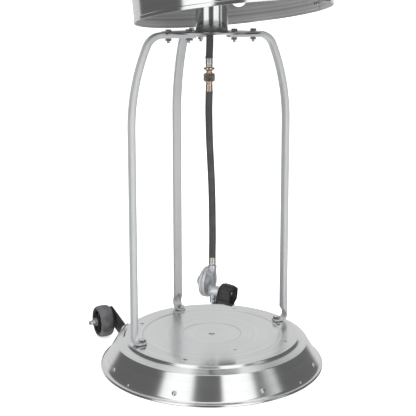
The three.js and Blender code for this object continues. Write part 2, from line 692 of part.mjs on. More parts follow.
function controls() {
  const [valveX, valveY, valveZ] = VALVE_CENTRE;
  add('gas_valve', cut(
    join(
      box(36, 34, 34, valveX, valveY, valveZ),
      rod(9, valveZ - 21.7, valveZ + 24, 10).translate(valveX, valveY, 0),
      frontward(rod(12, 50, 82)),
    ),
    frontward(rod(4.6, 70, 90, 8)),
  ), BRASS);
  add('valve_stem', frontward(rod(4, 78.6, 117, 8)), ZINC);
  add('control_knob', frontward(cut(
    join(
      turned([[0, 109], [27, 109], [27, 114], [23, 116], [21, 128], [0, 130]], 20),
      box(9, 44, 12, 0, 0, 126),
    ),
    rod(4.8, 100, 117.3, 8),
  )), BLACK_PLASTIC);
  add('igniter_body', frontward(turned([
    [0, 60], [10, 60], [10, 97], [7.2, 97], [7.2, 80], [0, 80],
  ]), 34), BLACK_PLASTIC);
  add('igniter_button', frontward(turned([
    [0, 88], [6.8, 88], [6.8, 106], [5.8, 107.5], [0, 108],
  ]), 34), BLACK_PLASTIC);
  const floor = POST_TOP + GAP + 1.4;
  add('tilt_switch', join(
    box(30, 18, 2, 55, 40, floor + GAP + 1),
    rod(8, floor + 1, floor + 36).translate(55, 40, 0),
  ), BLACK_PLASTIC);
}

function burnerSet() {
  const [valveX, valveY, valveZ] = VALVE_CENTRE;
  const deck = HOUSING_TOP + GAP;
  add('burner_pipe', tube(5, [
    [valveX, valveY, valveZ + 24.3], [valveX, valveY, valveZ + 40], [valveX, valveY + 8, valveZ + 56],
    [0, -16, valveZ + 66], [0, -2, valveZ + 78], [0, 0, deck - 5], [0, 0, deck + 10],
  ], 14), BRASS);
  add('burner', turned([
    [11.5, deck + 4], [13, deck + 4], [13, deck + 24], [30, deck + 38], [62, deck + 42],
    [62, deck + 60], [0, deck + 64], [0, deck + 62], [60.5, deck + 58], [60.5, deck + 43.5],
    [29, deck + 39.5], [11.5, deck + 24.5],
  ], 14), DARK_STEEL);
  const deckPlate = ring(10, DECK_RADIUS, deck, deck + 2, ROUND);
  const sensors = [[70, 40], [-70, 40]];
  const slots = sensors.map(([x, y]) => rod(4.5, deck - 5, deck + 5, 10).translate(x, y, 0));
  add('emitter_deck', cut(deckPlate, ...slots), STEEL);
  const [probe, spark] = sensors;
  add('thermocouple', rod(3, deck - 30, deck + 76, 10).translate(...probe, 0), ZINC);
  add('electrode', turned([
    [0, deck - 24], [4, deck - 24], [4, deck + 56], [1.5, deck + 58], [1.5, deck + 78], [0, deck + 78],
  ], 12).translate(...spark, 0), CERAMIC);
  add('emitter_screen', ring(
    SCREEN_RADIUS - 0.8, SCREEN_RADIUS, deck + 2 + GAP, SCREEN_TOP, ROUND,
  ), STEEL);
}

function studPlaces() {
  return [90, 210, 330].map((turn) => polar(STUD_RADIUS, turn));
}

function flameGuard() {
  const low = SCREEN_TOP + GAP;
  const lid = turned([
    [0, low], [SCREEN_RADIUS + 2, low], [SCREEN_RADIUS + 2, low - 14],
    [SCREEN_RADIUS + 3.4, low - 14], [SCREEN_RADIUS + 3.4, low], [FLAME_GUARD_RADIUS, low],
    [FLAME_GUARD_RADIUS, low + 1.6], [0, low + 1.6],
  ], ROUND);
  const holes = studPlaces().map(([x, y]) => rod(4.6, low - 5, low + 5, 8).translate(x, y, 0));
  add('flame_guard', cut(lid, ...holes), STEEL);
}

function reflector() {
  const t = 1.2;
  const dome = turned([
    [0, REFLECTOR_FLAT], [118, REFLECTOR_FLAT], [150, REFLECTOR_FLAT - 4],
    [260, REFLECTOR_FLAT - 33], [REFLECTOR_RADIUS - 3, REFLECTOR_RIM + 3],
    [REFLECTOR_RADIUS - 1, REFLECTOR_RIM], [REFLECTOR_RADIUS, REFLECTOR_RIM + 2.4],
    [REFLECTOR_RADIUS - 1, REFLECTOR_RIM + 5], [260, REFLECTOR_FLAT - 33 + t],
    [150, REFLECTOR_FLAT - 4 + t], [118, REFLECTOR_FLAT + t], [0, REFLECTOR_FLAT + t],
  ], ROUND);
  const holes = studPlaces().map(
    ([x, y]) => rod(4.6, REFLECTOR_FLAT - 5, REFLECTOR_FLAT + 5, 8).translate(x, y, 0),
  );
  add('reflector', cut(dome, ...holes), STEEL);
  const guardLow = SCREEN_TOP;
  const guardTop = SCREEN_TOP + GAP + 1.6;
  const top = REFLECTOR_FLAT + t;
  const stud = join(
    rod(4, guardLow - 5, top + 14, 6),
    rod(9, guardLow - 7, guardLow, 6),
    rod(7, guardTop + GAP, REFLECTOR_FLAT - GAP, 6),
    rod(7, top + GAP, top + 7, 6),
    box(30, 3, 8, 0, 0, top + 8),
  );
  studPlaces().forEach(([x, y], index) => {
    add(`reflector_stud_${index + 1}`, stud.clone(), ZINC, at(x, y));
  });
}

// ---------------------------------------------------------------- the heater

basePan();
legs();
footBolts();
postFlange();
flangeBolts();
post();
wheels();
gasHoses();
regulator();
tankCover();
coverGuide();
controlHousing();
controls();
burnerSet();
flameGuard();
reflector();

export default group;
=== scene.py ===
import json
from math import atan2, cos, degrees, pi, radians, sin, tan

import bmesh
import bpy
from mathutils import Matrix, Vector


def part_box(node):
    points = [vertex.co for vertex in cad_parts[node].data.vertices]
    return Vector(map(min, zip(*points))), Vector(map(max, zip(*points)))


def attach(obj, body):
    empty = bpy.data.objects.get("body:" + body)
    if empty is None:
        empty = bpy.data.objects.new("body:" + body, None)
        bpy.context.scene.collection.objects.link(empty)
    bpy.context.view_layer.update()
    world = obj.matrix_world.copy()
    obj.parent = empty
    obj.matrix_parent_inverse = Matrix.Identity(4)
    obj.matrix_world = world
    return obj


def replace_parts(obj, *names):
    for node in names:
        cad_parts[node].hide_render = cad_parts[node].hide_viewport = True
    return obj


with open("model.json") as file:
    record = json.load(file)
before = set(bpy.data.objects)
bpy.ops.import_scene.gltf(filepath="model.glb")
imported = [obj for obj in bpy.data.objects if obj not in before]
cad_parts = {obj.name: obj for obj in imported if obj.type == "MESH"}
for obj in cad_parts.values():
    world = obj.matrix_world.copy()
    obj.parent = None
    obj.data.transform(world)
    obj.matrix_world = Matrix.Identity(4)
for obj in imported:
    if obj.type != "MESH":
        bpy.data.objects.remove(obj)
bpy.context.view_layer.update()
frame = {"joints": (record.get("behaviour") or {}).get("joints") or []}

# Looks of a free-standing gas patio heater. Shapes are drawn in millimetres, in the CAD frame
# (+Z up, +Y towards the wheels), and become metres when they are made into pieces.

MM = 0.001
SHARP = 32  # degrees between faces that stay a hard edge
SOFTENED = 40  # degrees between faces whose edge is bevelled
NUT_CHAMFER = 28  # degrees
UP = Vector((0, 0, 1))
SIDE = Vector((0, 1, 0))

LEG_TURNS = {"right": 0, "back": 90, "left": 180}  # degrees about the post
ARM_BOLTS = {"inner": 50, "outer": 93}  # radii
FOOT_BOLT_RADIUS = 155.5
FOOT_THICKNESS = 4.4
BOLT_RADIUS = 3
PLATEAU_RADIUS = 178.5
LEDGE_FOOT = (182.5, 55.5)  # radius, height
CONE_TOP = (197.2, 50)
CONE_FOOT = (222.5, 8)
CONE_SLOPE = degrees(atan2(CONE_TOP[1] - CONE_FOOT[1], CONE_FOOT[0] - CONE_TOP[0]))
SCREW_HEIGHT = 18
COVER_HOLE = 57
HAND_HOLE_RADIUS = 17
HAND_HOLE_HEIGHT = 52
HAND_HOLE_TURN = 58
STUD_TURNS = (90, 210, 330)
STUD_RADIUS = 90


# ---------------------------------------------------------------- measures from the frame

def corners(node):
    """The lowest and highest corner of a CAD node, in millimetres."""
    low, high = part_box(node)
    return low / MM, high / MM


def middle(node):
    low, high = corners(node)
    return (low + high) / 2


def upright(node):
    """Where a CAD node stands (x, y), with its lowest and highest z."""
    low, high = corners(node)
    x, y, _ = middle(node)
    return x, y, low.z, high.z


def joint(name):
    return next(each for each in frame["joints"] if each["name"] == name)


def joint_place(name):
    return Vector(joint(name)["pos_m"]) / MM


def joint_axis(name):
    return Vector(joint(name)["axis"]).normalized()


# ---------------------------------------------------------------- shapes

class Shape:
    """Closed shells in millimetres that can be moved, added up and made into a piece."""

    def __init__(self, points=(), faces=()):
        self.points = [Vector(point) for point in points]
        self.faces = [tuple(face) for face in faces]

    def __add__(self, other):
        start = len(self.points)
        moved_faces = [tuple(index + start for index in face) for face in other.faces]
        return Shape(self.points + other.points, self.faces + moved_faces)

    def by(self, matrix):
        return Shape([matrix @ point for point in self.points], self.faces)

    def moved(self, x=0.0, y=0.0, z=0.0):
        return self.by(Matrix.Translation((x, y, z)))

    def turned(self, angle, axis="Z"):
        return self.by(Matrix.Rotation(radians(angle), 4, axis))


def bridge(rings, loop=False):
    """A shell over rings of points, one after another. It closes on itself, or gets flat ends."""
    count = len(rings[0])
    points = [point for ring in rings for point in ring]
    faces = []
    for level in range(len(rings) if loop else len(rings) - 1):
        here = level * count
        there = (level + 1) % len(rings) * count
        for side in range(count):
            after = (side + 1) % count
            faces.append((here + side, here + after, there + after, there + side))
    if not loop:
        faces.append(tuple(reversed(range(count))))
        faces.append(tuple(range(len(points) - count, len(points))))
    return Shape(points, faces)


def polar(radius, turn, height=0.0):
    """The place at a radius and a turn about Z, in degrees."""
    return Vector((radius * cos(radians(turn)), radius * sin(radians(turn)), height))


def circle(radius, height, sides):
    return [polar(radius, 360 * index / sides, height) for index in range(sides)]


def lathe(profile, sides=64):
    """A turned solid about Z. Its (radius, height) profile runs from axis to axis or closes."""
    on_axis = profile[0][0] == 0
    rings = [circle(radius, height, sides) for radius, height in profile if radius > 0]
    return bridge(rings, loop=not on_axis)


def soft_lathe(outline, sides=64, steps=4):
    """A turned solid whose corners (radius, height, cut) are rounded."""
    return lathe(rounded(outline, steps), sides)


def rod(radius, low, high, edge=0.4, sides=32):
    return lathe([(0, low), (radius - edge, low), (radius, low + edge), (radius, high - edge),
                  (radius - edge, high), (0, high)], sides)


def tube(inner, outer, low, high, edge=0.3, sides=64):
    return soft_lathe([(inner, low, edge), (outer, low, edge), (outer, high, edge),
                       (inner, high, edge)], sides, 2)


def rounded(outline, steps=4):
    """An outline whose corners (x, y, cut) are rounded from that distance before them."""
    points = []
    for index, corner in enumerate(outline):
        here = Vector(corner[:2])
        if len(corner) == 2:
            points.append(tuple(here))
            continue
        before = Vector(outline[index - 1][:2]) - here
        after = Vector(outline[(index + 1) % len(outline)][:2]) - here
        cut = min(corner[2], 0.49 * before.length, 0.49 * after.length)
        start = here + before.normalized() * cut
        end = here + after.normalized() * cut
        for step in range(steps + 1):
            t = step / steps
            points.append(tuple((1 - t) ** 2 * start + 2 * t * (1 - t) * here + t * t * end))
    return points


def arc(x, y, radius, first, last, steps):
    """Points on an arc from one angle to another, in degrees."""
    turns = [radians(first + (last - first) * index / steps) for index in range(steps + 1)]
    return [(x + radius * cos(turn), y + radius * sin(turn)) for turn in turns]


def prism(outline, low, high):
    return bridge([[Vector((x, y, z)) for x, y in outline] for z in (low, high)])


def block(width, depth, height, cut=0.6):
    """A box about the origin with rounded upright edges and chamfered ends."""
    rings = []
    for inset, z in ((cut, -height / 2), (0, cut - height / 2), (0, height / 2 - cut),
                     (cut, height / 2)):
        x = width / 2 - inset
        y = depth / 2 - inset
        outline = rounded([(-x, -y, cut), (x, -y, cut), (x, y, cut), (-x, y, cut)], 3)
        rings.append([Vector((px, py, z)) for px, py in outline])
    return bridge(rings)


def sweep(stations, section, side=SIDE):
    """A solid along stations. section gives the outline at a station, with its X along side."""
    rings = []
    last = len(stations) - 1
    for index, place in enumerate(stations):
        tangent = (stations[min(index + 1, last)] - stations[max(index - 1, 0)]).normalized()
        across = (side - tangent * side.dot(tangent)).normalized()
        up = tangent.cross(across)
        rings.append([place + across * x + up * y for x, y in section(index)])
    return bridge(rings)


def nut(across, low, high, sides=48):
    """A hexagon nut or bolt head whose corners are chamfered on both faces."""
    flat = across / 2
    crown = flat * 0.95
    slope = tan(radians(NUT_CHAMFER))
    rings = [circle(crown, low, sides)]
    outer = []
    for index in range(sides):
        turn = 2 * pi * index / sides
        reach = flat / cos((turn + pi / 6) % (pi / 3) - pi / 6)
        outer.append((reach * cos(turn), reach * sin(turn), (reach - crown) * slope))
    rings.append([Vector((x, y, low + drop)) for x, y, drop in outer])
    rings.append([Vector((x, y, high - drop)) for x, y, drop in outer])
    rings.append(circle(crown, high, sides))
    return bridge(rings)


def thread(radius, low, high, pitch=1.0, sides=24):
    """The threaded end of a bolt, as grooves with a chamfered tip."""
    root = radius * 0.87
    profile = [(0, low)]
    for turn in range(int((high - low - pitch) / pitch)):
        profile += [(root, low + turn * pitch), (radius, low + (turn + 0.5) * pitch)]
    profile += [(root, high - pitch), (root * 0.9, high), (0, high)]
    return lathe(profile, sides)


# ---------------------------------------------------------------- pieces

def mesh_of(name, shape):
    mesh = bpy.data.meshes.new(name)
    mesh.from_pydata([point * MM for point in shape.points], [], shape.faces)
    work = bmesh.new()
    work.from_mesh(mesh)
    bmesh.ops.recalc_face_normals(work, faces=work.faces)
    work.to_mesh(mesh)
    work.free()
    return mesh


def in_scene(name, data):
    """An object for the data, linked into the scene."""
    made = bpy.data.objects.new(name, data)
    bpy.context.scene.collection.objects.link(made)
    return made


def piece(name, shape, finish, body="root", cad=None, place=None, holes=None, bevel=0.0):
    """Makes a shape into a piece that rides on a body, has a finish and replaces a CAD node."""
    made = in_scene(name, mesh_of(name, shape))
    if holes:
        cut_out(made, holes)
    if bevel:
        soften(made, bevel)
    made.data.shade_smooth()
    made.data.set_sharp_from_angle(angle=radians(SHARP))
    made.data.materials.clear()
    made.data.materials.append(finish["material"])
    if place:
        made.matrix_world = place
    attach(made, body)
    if cad:
        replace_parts(made, cad)
    return made


def applied(made, kind, **settings):
    """Adds one modifier, sets it and bakes it into the mesh."""
    modifier = made.modifiers.new(kind.title(), kind)
    for key, value in settings.items():
        setattr(modifier, key, value)
    ready = made.evaluated_get(bpy.context.evaluated_depsgraph_get())
    mesh = bpy.data.meshes.new_from_object(ready)
    made.modifiers.clear()
    made.data = mesh


def cut_out(made, shape):
    tool = in_scene("tool", mesh_of("tool", shape))
    applied(made, "BOOLEAN", operation="DIFFERENCE", solver="EXACT", object=tool)
    bpy.data.objects.remove(tool)


def soften(made, width):
    applied(made, "BEVEL", width=width * MM, segments=2, limit_method="ANGLE",
            angle_limit=radians(SOFTENED))


# ---------------------------------------------------------------- material tools

def add_node(tree, kind, inputs=None, **settings):
    """Adds a node with its settings, and sets or links its inputs."""
    node = tree.nodes.new(kind)
    for key, value in settings.items():
        setattr(node, key, value)
    for socket, value in (inputs or {}).items():
        if hasattr(value, "is_output"):
            tree.links.new(value, node.inputs[socket])
        else:
            node.inputs[socket].default_value = value
    return node


class Graph:
    """Short ways to build one material's node tree."""

    def __init__(self, name, colour, roughness, metallic=0.0, **sockets):
        self.material = bpy.data.materials.new(name)
        self.material.use_nodes = True
        self.tree = self.material.node_tree
        self.shader = self.tree.nodes["Principled BSDF"]
        self.colour = colour
        self.roughness = roughness
        fixed = {"Base Color": (*colour, 1), "Roughness": roughness, "Metallic": metallic}
        for socket, value in {**fixed, **sockets}.items():
            self.shader.inputs[socket.replace("_", " ")].default_value = value

    def add(self, kind, inputs=None, **settings):
        return add_node(self.tree, kind, inputs, **settings)

    def drive(self, socket, value):
        self.tree.links.new(value, self.shader.inputs[socket])

    def math(self, operation, first, second=0.0):
        return self.add("ShaderNodeMath", {0: first, 1: second}, operation=operation).outputs[0]

    def here(self):
        return self.add("ShaderNodeTexCoord").outputs["Object"]

    def about_axis(self):
        """How far the place is from Z, how high it is and at what angle."""
        parts = self.add("ShaderNodeSeparateXYZ", {0: self.here()}).outputs
        squares = [self.math("POWER", parts[axis], 2.0) for axis in "XY"]
        radius = self.math("SQRT", self.math("ADD", *squares))
        return radius, parts["Z"], self.math("ARCTAN2", parts["Y"], parts["X"])

    def texture(self, scale, detail, stretch=None):
        """Noise that is plain, scaled along the axes by three numbers, or run round Z by one."""
        place = self.here()
        if isinstance(stretch, tuple):
            place = self.add("ShaderNodeMapping", {"Vector": place, "Scale": stretch}).outputs[0]
        elif stretch:
            radius, height, angle = self.about_axis()
            turn = self.math("MULTIPLY", angle, stretch)
            place = self.add("ShaderNodeCombineXYZ", {0: radius, 1: height, 2: turn}).outputs[0]
        inputs = {"Vector": place, "Scale": scale, "Detail": detail}
        return self.add("ShaderNodeTexNoise", inputs).outputs[0]

    def spread(self, value, low, high, start=0.3, end=0.7):
        """Maps a texture's middle range onto low to high."""
        inputs = {"Value": value, "From Min": start, "From Max": end, "To Min": low, "To Max": high}
        return self.add("ShaderNodeMapRange", inputs).outputs[0]

    def mix(self, share, first, second, **settings):
        inputs = {0: share, 6: first, 7: second}
        return self.add("ShaderNodeMix", inputs, data_type="RGBA", **settings).outputs[2]

    def tint(self, value, darker, lighter, rings):
        """Varies the colour between two shares of itself, and paints shade as darker rings at some
        radii.
        """
        dark = (*[part * darker for part in self.colour], 1)
        light = (*[min(1, part * lighter) for part in self.colour], 1)
        colour = self.mix(self.spread(value, 0.0, 1.0), dark, light)
        for ring in rings:
            # painted shade: the colour darkens in a narrow band about each ring's radius
            away = self.math("ABSOLUTE", self.math("SUBTRACT", self.about_axis()[0], ring * MM))
            near = self.spread(away, 1.0, 0.0, 0.5 * MM, 2.2 * MM)
            colour = self.mix(near, colour, (STEP_PAINTED_SHADE,) * 3 + (1,), blend_type="MULTIPLY")
        self.drive("Base Color", colour)

    def gloss(self, value, swing):
        """Varies the roughness about its mean."""
        share = self.spread(value, self.roughness * (1 - swing), self.roughness * (1 + swing))
        self.drive("Roughness", share)

    def bumps(self, layers):
        """Raises (texture, strength, depth in metres) layers, one on another."""
        normal = None
        for height, strength, depth in layers:
            inputs = {"Height": height, "Strength": strength, "Distance": depth}
            if normal:
                inputs["Normal"] = normal
            normal = self.add("ShaderNodeBump", inputs).outputs[0]
        self.drive("Normal", normal)


# ---------------------------------------------------------------- materials

# Painted shade along the pressed steps of the base's flat top
STEP_PAINTED_SHADE = 0.84  # of the colour beside it


def surface(name, slot, colour, shine, textures, tint, gloss, bumps, rings=(), **sockets):
    """A finish whose tint, gloss and bumps each name the textures that drive them.

    shine is the roughness and the share of metal, and a texture is what Graph.texture takes."""
    graph = Graph(name, colour, *shine, **sockets)
    drawn = {key: graph.texture(*value) for key, value in textures.items()}
    graph.tint(drawn[tint[0]], *tint[1:], rings)
    graph.gloss(drawn[gloss[0]], gloss[1])
    graph.bumps([(drawn[key], strength, depth) for key, strength, depth in bumps])
    return {"material": graph.material, "slot": slot}


def round_brushed(name, slot, colour, shine, strength=0.12, shades=(0.96, 1.03), rings=()):
    """Stainless sheet with fine lines that run round it and faint marks; the rings are radii of painted
    shade.
    """
    textures = {"lines": (1400, 2, 0.0004), "bands": (160, 4, 0.0006), "marks": (9, 5)}
    bumps = (("lines", strength, 0.00002), ("bands", strength * 0.3, 0.00003))
    return surface(name, slot, colour, shine, textures, ("bands", *shades), ("marks", 0.2), bumps,
                   rings, Anisotropic=0.85, Anisotropic_Rotation=0.25)


def black_moulding(name, colour, roughness):
    """Black plastic with a fine moulded grain and greasy, uneven gloss."""
    return surface(name, name, colour, (roughness, 0.0), {"grain": (900, 3), "wear": (70, 5)},
                   ("wear", 0.75, 1.5), ("wear", 0.3), [("grain", 0.16, 0.00006)])


# The rings at 60.5 and 143 mm are painted shade along the pressed steps of the flat top.
BASE_SHEET = round_brushed("base_sheet", "base_sheet", (0.79, 0.795, 0.8), (0.2, 1.0), 0.06,
                           rings=(60.5, 143))
COVER_OUTSIDE = round_brushed("cover_outside", "cover_sheet", (0.76, 0.765, 0.77), (0.15, 1.0),
                              0.05)
COVER_INSIDE = round_brushed("cover_inside", "cover_sheet", (0.74, 0.74, 0.745), (0.4, 0.45), 0.25,
                             (0.6, 1.2))
REFLECTOR_SHEET = round_brushed("reflector_sheet", "reflector_sheet", (0.82, 0.82, 0.825),
                                (0.22, 1.0))
STAINLESS = round_brushed("stainless", "stainless", (0.74, 0.745, 0.75), (0.2, 1.0))
GRIP = black_moulding("grip_plastic", (0.012, 0.012, 0.013), 0.22)
HUB = black_moulding("hub_plastic", (0.02, 0.02, 0.021), 0.45)
KNOB = black_moulding("knob_plastic", (0.022, 0.022, 0.023), 0.4)

# Stainless tube with streaks along its length.
POST_TUBE = surface(
    "post_tube", "post_tube", (0.72, 0.725, 0.73), (0.13, 1.0),
    {"lines": (900, 2, (1, 1, 0.004)), "bands": (130, 3, (1, 1, 0.02)), "marks": (12, 5)},
    ("bands", 0.88, 1.05), ("marks", 0.3), (("lines", 0.14, 0.00002), ("bands", 0.14, 0.00005)))

# Smooth silver-grey powder coat with a faint orange-peel surface and metal flake.
PAINT = surface(
    "silver_paint", "leg_paint", (0.5, 0.51, 0.52), (0.34, 0.35),
    {"flake": (2600, 1), "cloud": (14, 4), "peel": (420, 2)},
    ("cloud", 0.965, 1.03), ("flake", 0.18), (("peel", 0.06, 0.00008), ("flake", 0.05, 0.00002)),
    Coat_Weight=0.25, Coat_Roughness=0.2)

# Bright-rolled dark steel plate with mill marks.
DARK_PLATE = surface(
    "dark_plate", "dark_plate", (0.42, 0.425, 0.43), (0.22, 1.0),
    {"rolled": (420, 3, (1, 0.03, 1)), "cloud": (26, 5)},
    ("cloud", 0.7, 1.25), ("cloud", 0.3), [("rolled", 0.15, 0.00003)])

# Bright zinc plating with the slight mottling of a dipped fastener.
ZINC = surface(
    "bright_zinc", "zinc_bolt", (0.74, 0.75, 0.76), (0.2, 1.0),
    {"mottle": (260, 4), "scratch": (900, 2, (1, 1, 0.1))},
    ("mottle", 0.8, 1.06), ("mottle", 0.35),
    (("mottle", 0.1, 0.00004), ("scratch", 0.06, 0.00002)))

# Black extruded rubber: fine lines along the hose, a dull bloom and specks.
RUBBER = surface(
    "hose_rubber", "hose_rubber", (0.045, 0.045, 0.047), (0.5, 0.0),
    {"lines": (700, 2, (1, 1, 0.02)), "bloom": (40, 5), "grain": (1500, 2)},
    ("bloom", 0.8, 1.3), ("bloom", 0.2), (("lines", 0.12, 0.00006), ("grain", 0.14, 0.00004)))

# Warm, slightly pink machined brass with turning lines and darker patches.
BRASS = surface(
    "warm_brass", "fitting_brass", (0.74, 0.6, 0.49), (0.22, 1.0),
    {"turning": (1600, 2, 0.01), "patina": (150, 5)}, ("patina", 0.72, 1.12), ("patina", 0.4),
    (("turning", 0.12, 0.00003), ("patina", 0.05, 0.00005)))

# Bright pressed ferrule with drawing marks.
CRIMP = surface(
    "crimp_metal", "crimp_steel", (0.76, 0.74, 0.7), (0.26, 1.0),
    {"drawn": (800, 2, (1, 1, 0.08)), "cloud": (130, 4)},
    ("cloud", 0.8, 1.08), ("cloud", 0.35), [("drawn", 0.14, 0.00004)])

# Satin die-cast zinc alloy: a fine grainy skin with soft blotches.
CASTING = surface(
    "die_cast_zinc", "casting", (0.64, 0.66, 0.68), (0.3, 0.8),
    {"grain": (900, 4), "cloud": (60, 5)}, ("cloud", 0.86, 1.1), ("grain", 0.25),
    (("grain", 0.16, 0.00006), ("cloud", 0.1, 0.0002)))

# Dusty grey-black rubber that is scuffed lighter in places.
TYRE = surface(
    "tyre_rubber", "tyre_rubber", (0.085, 0.085, 0.088), (0.62, 0.0),
    {"dust": (55, 6), "scuff": (300, 4, (0.1, 1, 1)), "grain": (1300, 3)},
    ("dust", 0.65, 1.75), ("dust", 0.15), (("grain", 0.25, 0.00008), ("scuff", 0.12, 0.00006)))

# Black painted plate with a light peel.
BRACKET = surface(
    "black_paint", "bracket_paint", (0.028, 0.028, 0.03), (0.38, 0.0),
    {"peel": (380, 3), "cloud": (45, 5)}, ("cloud", 0.8, 1.6), ("cloud", 0.25),
    [("peel", 0.1, 0.0001)], Coat_Weight=0.2)

# Stainless that heat has stained straw and brown.
BURNER = surface(
    "heat_stained", "burner_steel", (0.42, 0.38, 0.34), (0.35, 1.0),
    {"stain": (28, 5), "grain": (700, 3)}, ("stain", 0.6, 1.4), ("stain", 0.3),
    [("grain", 0.12, 0.00004)])

# White glazed insulator with fine crazing.
GLAZE = surface(
    "white_glaze", "insulator", (0.8, 0.78, 0.72), (0.16, 0.0), {"speck": (500, 4)},
    ("speck", 0.9, 1.05), ("speck", 0.3), [("speck", 0.05, 0.00005)], Coat_Weight=0.5)


# ---------------------------------------------------------------- camera

CAMERA_TILT = 9.423  # degrees, looking down
CAMERA_TURN = -26.2


def camera():
    """Where the picture was taken from: a little above the base, looking down."""
    data = bpy.data.cameras.new("camera")
    data.sensor_width = 36
    data.lens = 78.82
    data.shift_x = -0.0089
    data.shift_y = -0.1306
    made = in_scene("camera", data)
    made.location = (-0.7972, -1.6201, 0.7362)
    made.rotation_euler = (radians(90 - CAMERA_TILT), 0, radians(CAMERA_TURN))
    bpy.context.scene.camera = made


camera()


# ---------------------------------------------------------------- gas hose

# The hose hangs out of the coupling and sways a little on its way to the regulator.
HOSE_ROUTE = (
    (-4.5, 2.2, 561.7), (-4.9, 2.4, 545), (-5.2, 2.6, 525), (-4.9, 2.4, 505), (-4.5, 2.2, 485),
    (-3.9, 1.9, 464), (-3.1, 1.5, 444), (-2.2, 1.1, 424), (-1.3, 0.6, 403), (-0.5, 0.2, 383),
    (0.2, -0.1, 362), (0.7, -0.3, 341), (1, -0.5, 320), (1.2, -0.6, 300), (1.4, -0.7, 279),
    (1.4, -0.7, 258), (1.2, -0.6, 240), (1.1, -0.5, 222.3),
)
UPPER_ROUTE = (
    (-4.5, 2.2, 628.3), (-3.6, 1.8, 650), (-3.2, 1.6, 680), (-2, 1, 900), (-1, 1, 1200),
    (-1, 0, 1430), (-1, -5, 1470), (0, -13, 1505), (0, -23, 1530), (0, -33, 1549), (0, -39, 1562),
    (0, -40, 1570), (0, -40, 1577),
)
HOSE_RADIUS = 7.15


def hose(name, route, node):
    """A round hose through the points of its route."""
    data = bpy.data.curves.new(name, "CURVE")
    data.dimensions = "3D"
    data.bevel_depth = HOSE_RADIUS * MM
    data.bevel_resolution = 8
    data.resolution_u = 8
    data.use_fill_caps = True
    line = data.splines.new("BEZIER")
    line.bezier_points.add(len(route) - 1)
    for point, place in zip(line.bezier_points, route):
        point.co = Vector(place) * MM
        point.handle_left_type = "AUTO"
        point.handle_right_type = "AUTO"
    made = in_scene(name, data)
    data.materials.append(RUBBER["material"])
    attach(made, "root")
    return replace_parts(made, node)


def gas_hoses():
    """Both hoses; returns the lower one, which hangs free."""
    hose("hose_in_post", UPPER_ROUTE, "upper_hose")
    lower = hose("gas_hose", HOSE_ROUTE, "lower_hose")
    x, y, low, high = upright("upper_ferrule")
    ribs = [(0, low), (6.4, low), (7.1, low + 0.8), (7.2, low + 3), (6.5, low + 4.2),
            (6.5, low + 5), (7.2, low + 6), (7.35, low + 8)]
    for groove in (8.6, 11.6, 14.6):
        ribs += [(7.35, low + groove), (6.95, low + groove + 0.5), (6.95, low + groove + 1.2),
                 (7.35, low + groove + 1.7)]
    ribs += [(7.35, high - 0.5), (7, high), (0, high)]
    piece("hose_ferrule", lathe(ribs).moved(x, y), CRIMP, cad="upper_ferrule")
    collar = soft_lathe([(7.16, high + 0.1), (7.7, high + 0.1, 0.4), (7.7, high + 3.2, 0.4),
                            (7.16, high + 3.2)])
    piece("hose_end_ring", collar.moved(x, y), RUBBER)
    x, y, low, high = upright("lower_ferrule")
    ribs = [(0, low), (6.2, low), (6.7, low + 0.6), (6.7, low + 2), (7.3, low + 3)]
    for groove in (6, 11):
        ribs += [(7.35, low + groove), (7, low + groove + 0.6), (7, low + groove + 1.4),
                 (7.35, low + groove + 2)]
    ribs += [(7.35, high - 0.5), (7.1, high), (0, high)]
    piece("hose_lower_ferrule", lathe(ribs).moved(x, y), CRIMP, cad="lower_ferrule")
    return lower


def coupling():
    """The flared barb, the hexagon nut and the turned tail between the two hoses."""
    x, y, low, high = upright("hose_barb")
    barb = lathe([(0, low), (5.7, low), (5.7, high - 7.4), (6.2, high - 6.6), (9.4, high - 4.4),
                  (10.7, high - 3.8), (11, high - 3.2), (11, high - 0.8), (10.5, high - 0.2),
                  (8, high), (0, high)])
    piece("coupling_barb", barb.moved(x, y), BRASS, cad="hose_barb")
    x, y, low, high = upright("coupling_nut")
    shape = nut(19.5, low + 0.6, high - 1.8)
    shape += lathe([(0, low), (8.4, low), (8.4, high - 1.6), (6.6, high), (0, high)])
    piece("coupling_hexagon", shape.moved(x, y), BRASS, cad="coupling_nut")
    x, y, low, high = upright("coupling_tail")
    tail = lathe([(0, low), (6.9, low), (7.3, low + 0.5), (7.3, low + 3), (6.8, low + 3.6),
                  (6.8, high - 4.6), (6, high - 3.8), (6, high - 2.6), (6.7, high - 2),
                  (6.7, high), (0, high)])
    piece("coupling_sleeve", tail.moved(x, y), BRASS, cad="coupling_tail")


# ---------------------------------------------------------------- regulator

REGULATOR_HEIGHT = 168.7  # middle of the disc
INLET_DROP = 17.5  # from the middle of the disc to the inlet's axis
NUT_DROP = 19.8  # the loose hand nut hangs below the inlet's axis
NUT_START = 20.6  # from the outlet's axis to the nut's back
NUT_REACH = 14  # from the nut's back to the place of its joint
NUT_LENGTH = 28.5
NUT_RADIUS = 20.6
NUT_RIBS = 6
NUT_RIB_HALF = 10.2  # degrees
NUT_RIB_HEIGHT = 2.2
NUT_FLUTES = 32
FLUTE_DEPTH = 0.3


def turned_frame(origin, down, forward):
    """A place whose Z points forward and whose X points down, given in millimetres."""
    turn = Matrix((down, forward.cross(down), forward)).transposed().to_4x4()
    return Matrix.Translation(origin * MM) @ turn


def nut_place():
    axis = joint_axis("hand_nut_spin")
    down = UP.cross(axis).normalized().cross(axis)
    return turned_frame(joint_place("hand_nut_spin") - axis * NUT_REACH, down, axis)


def regulator_place():
    """The regulator's own frame: Z towards the inlet, X down, the outlet's axis at Z 0."""
    axis = joint_axis("hand_nut_spin")
    inlet = Vector((axis.x, axis.y, 0)).normalized()
    back = joint_place("hand_nut_spin") - axis * NUT_REACH
    return turned_frame(back - inlet * NUT_START + UP * NUT_DROP, -UP, inlet)


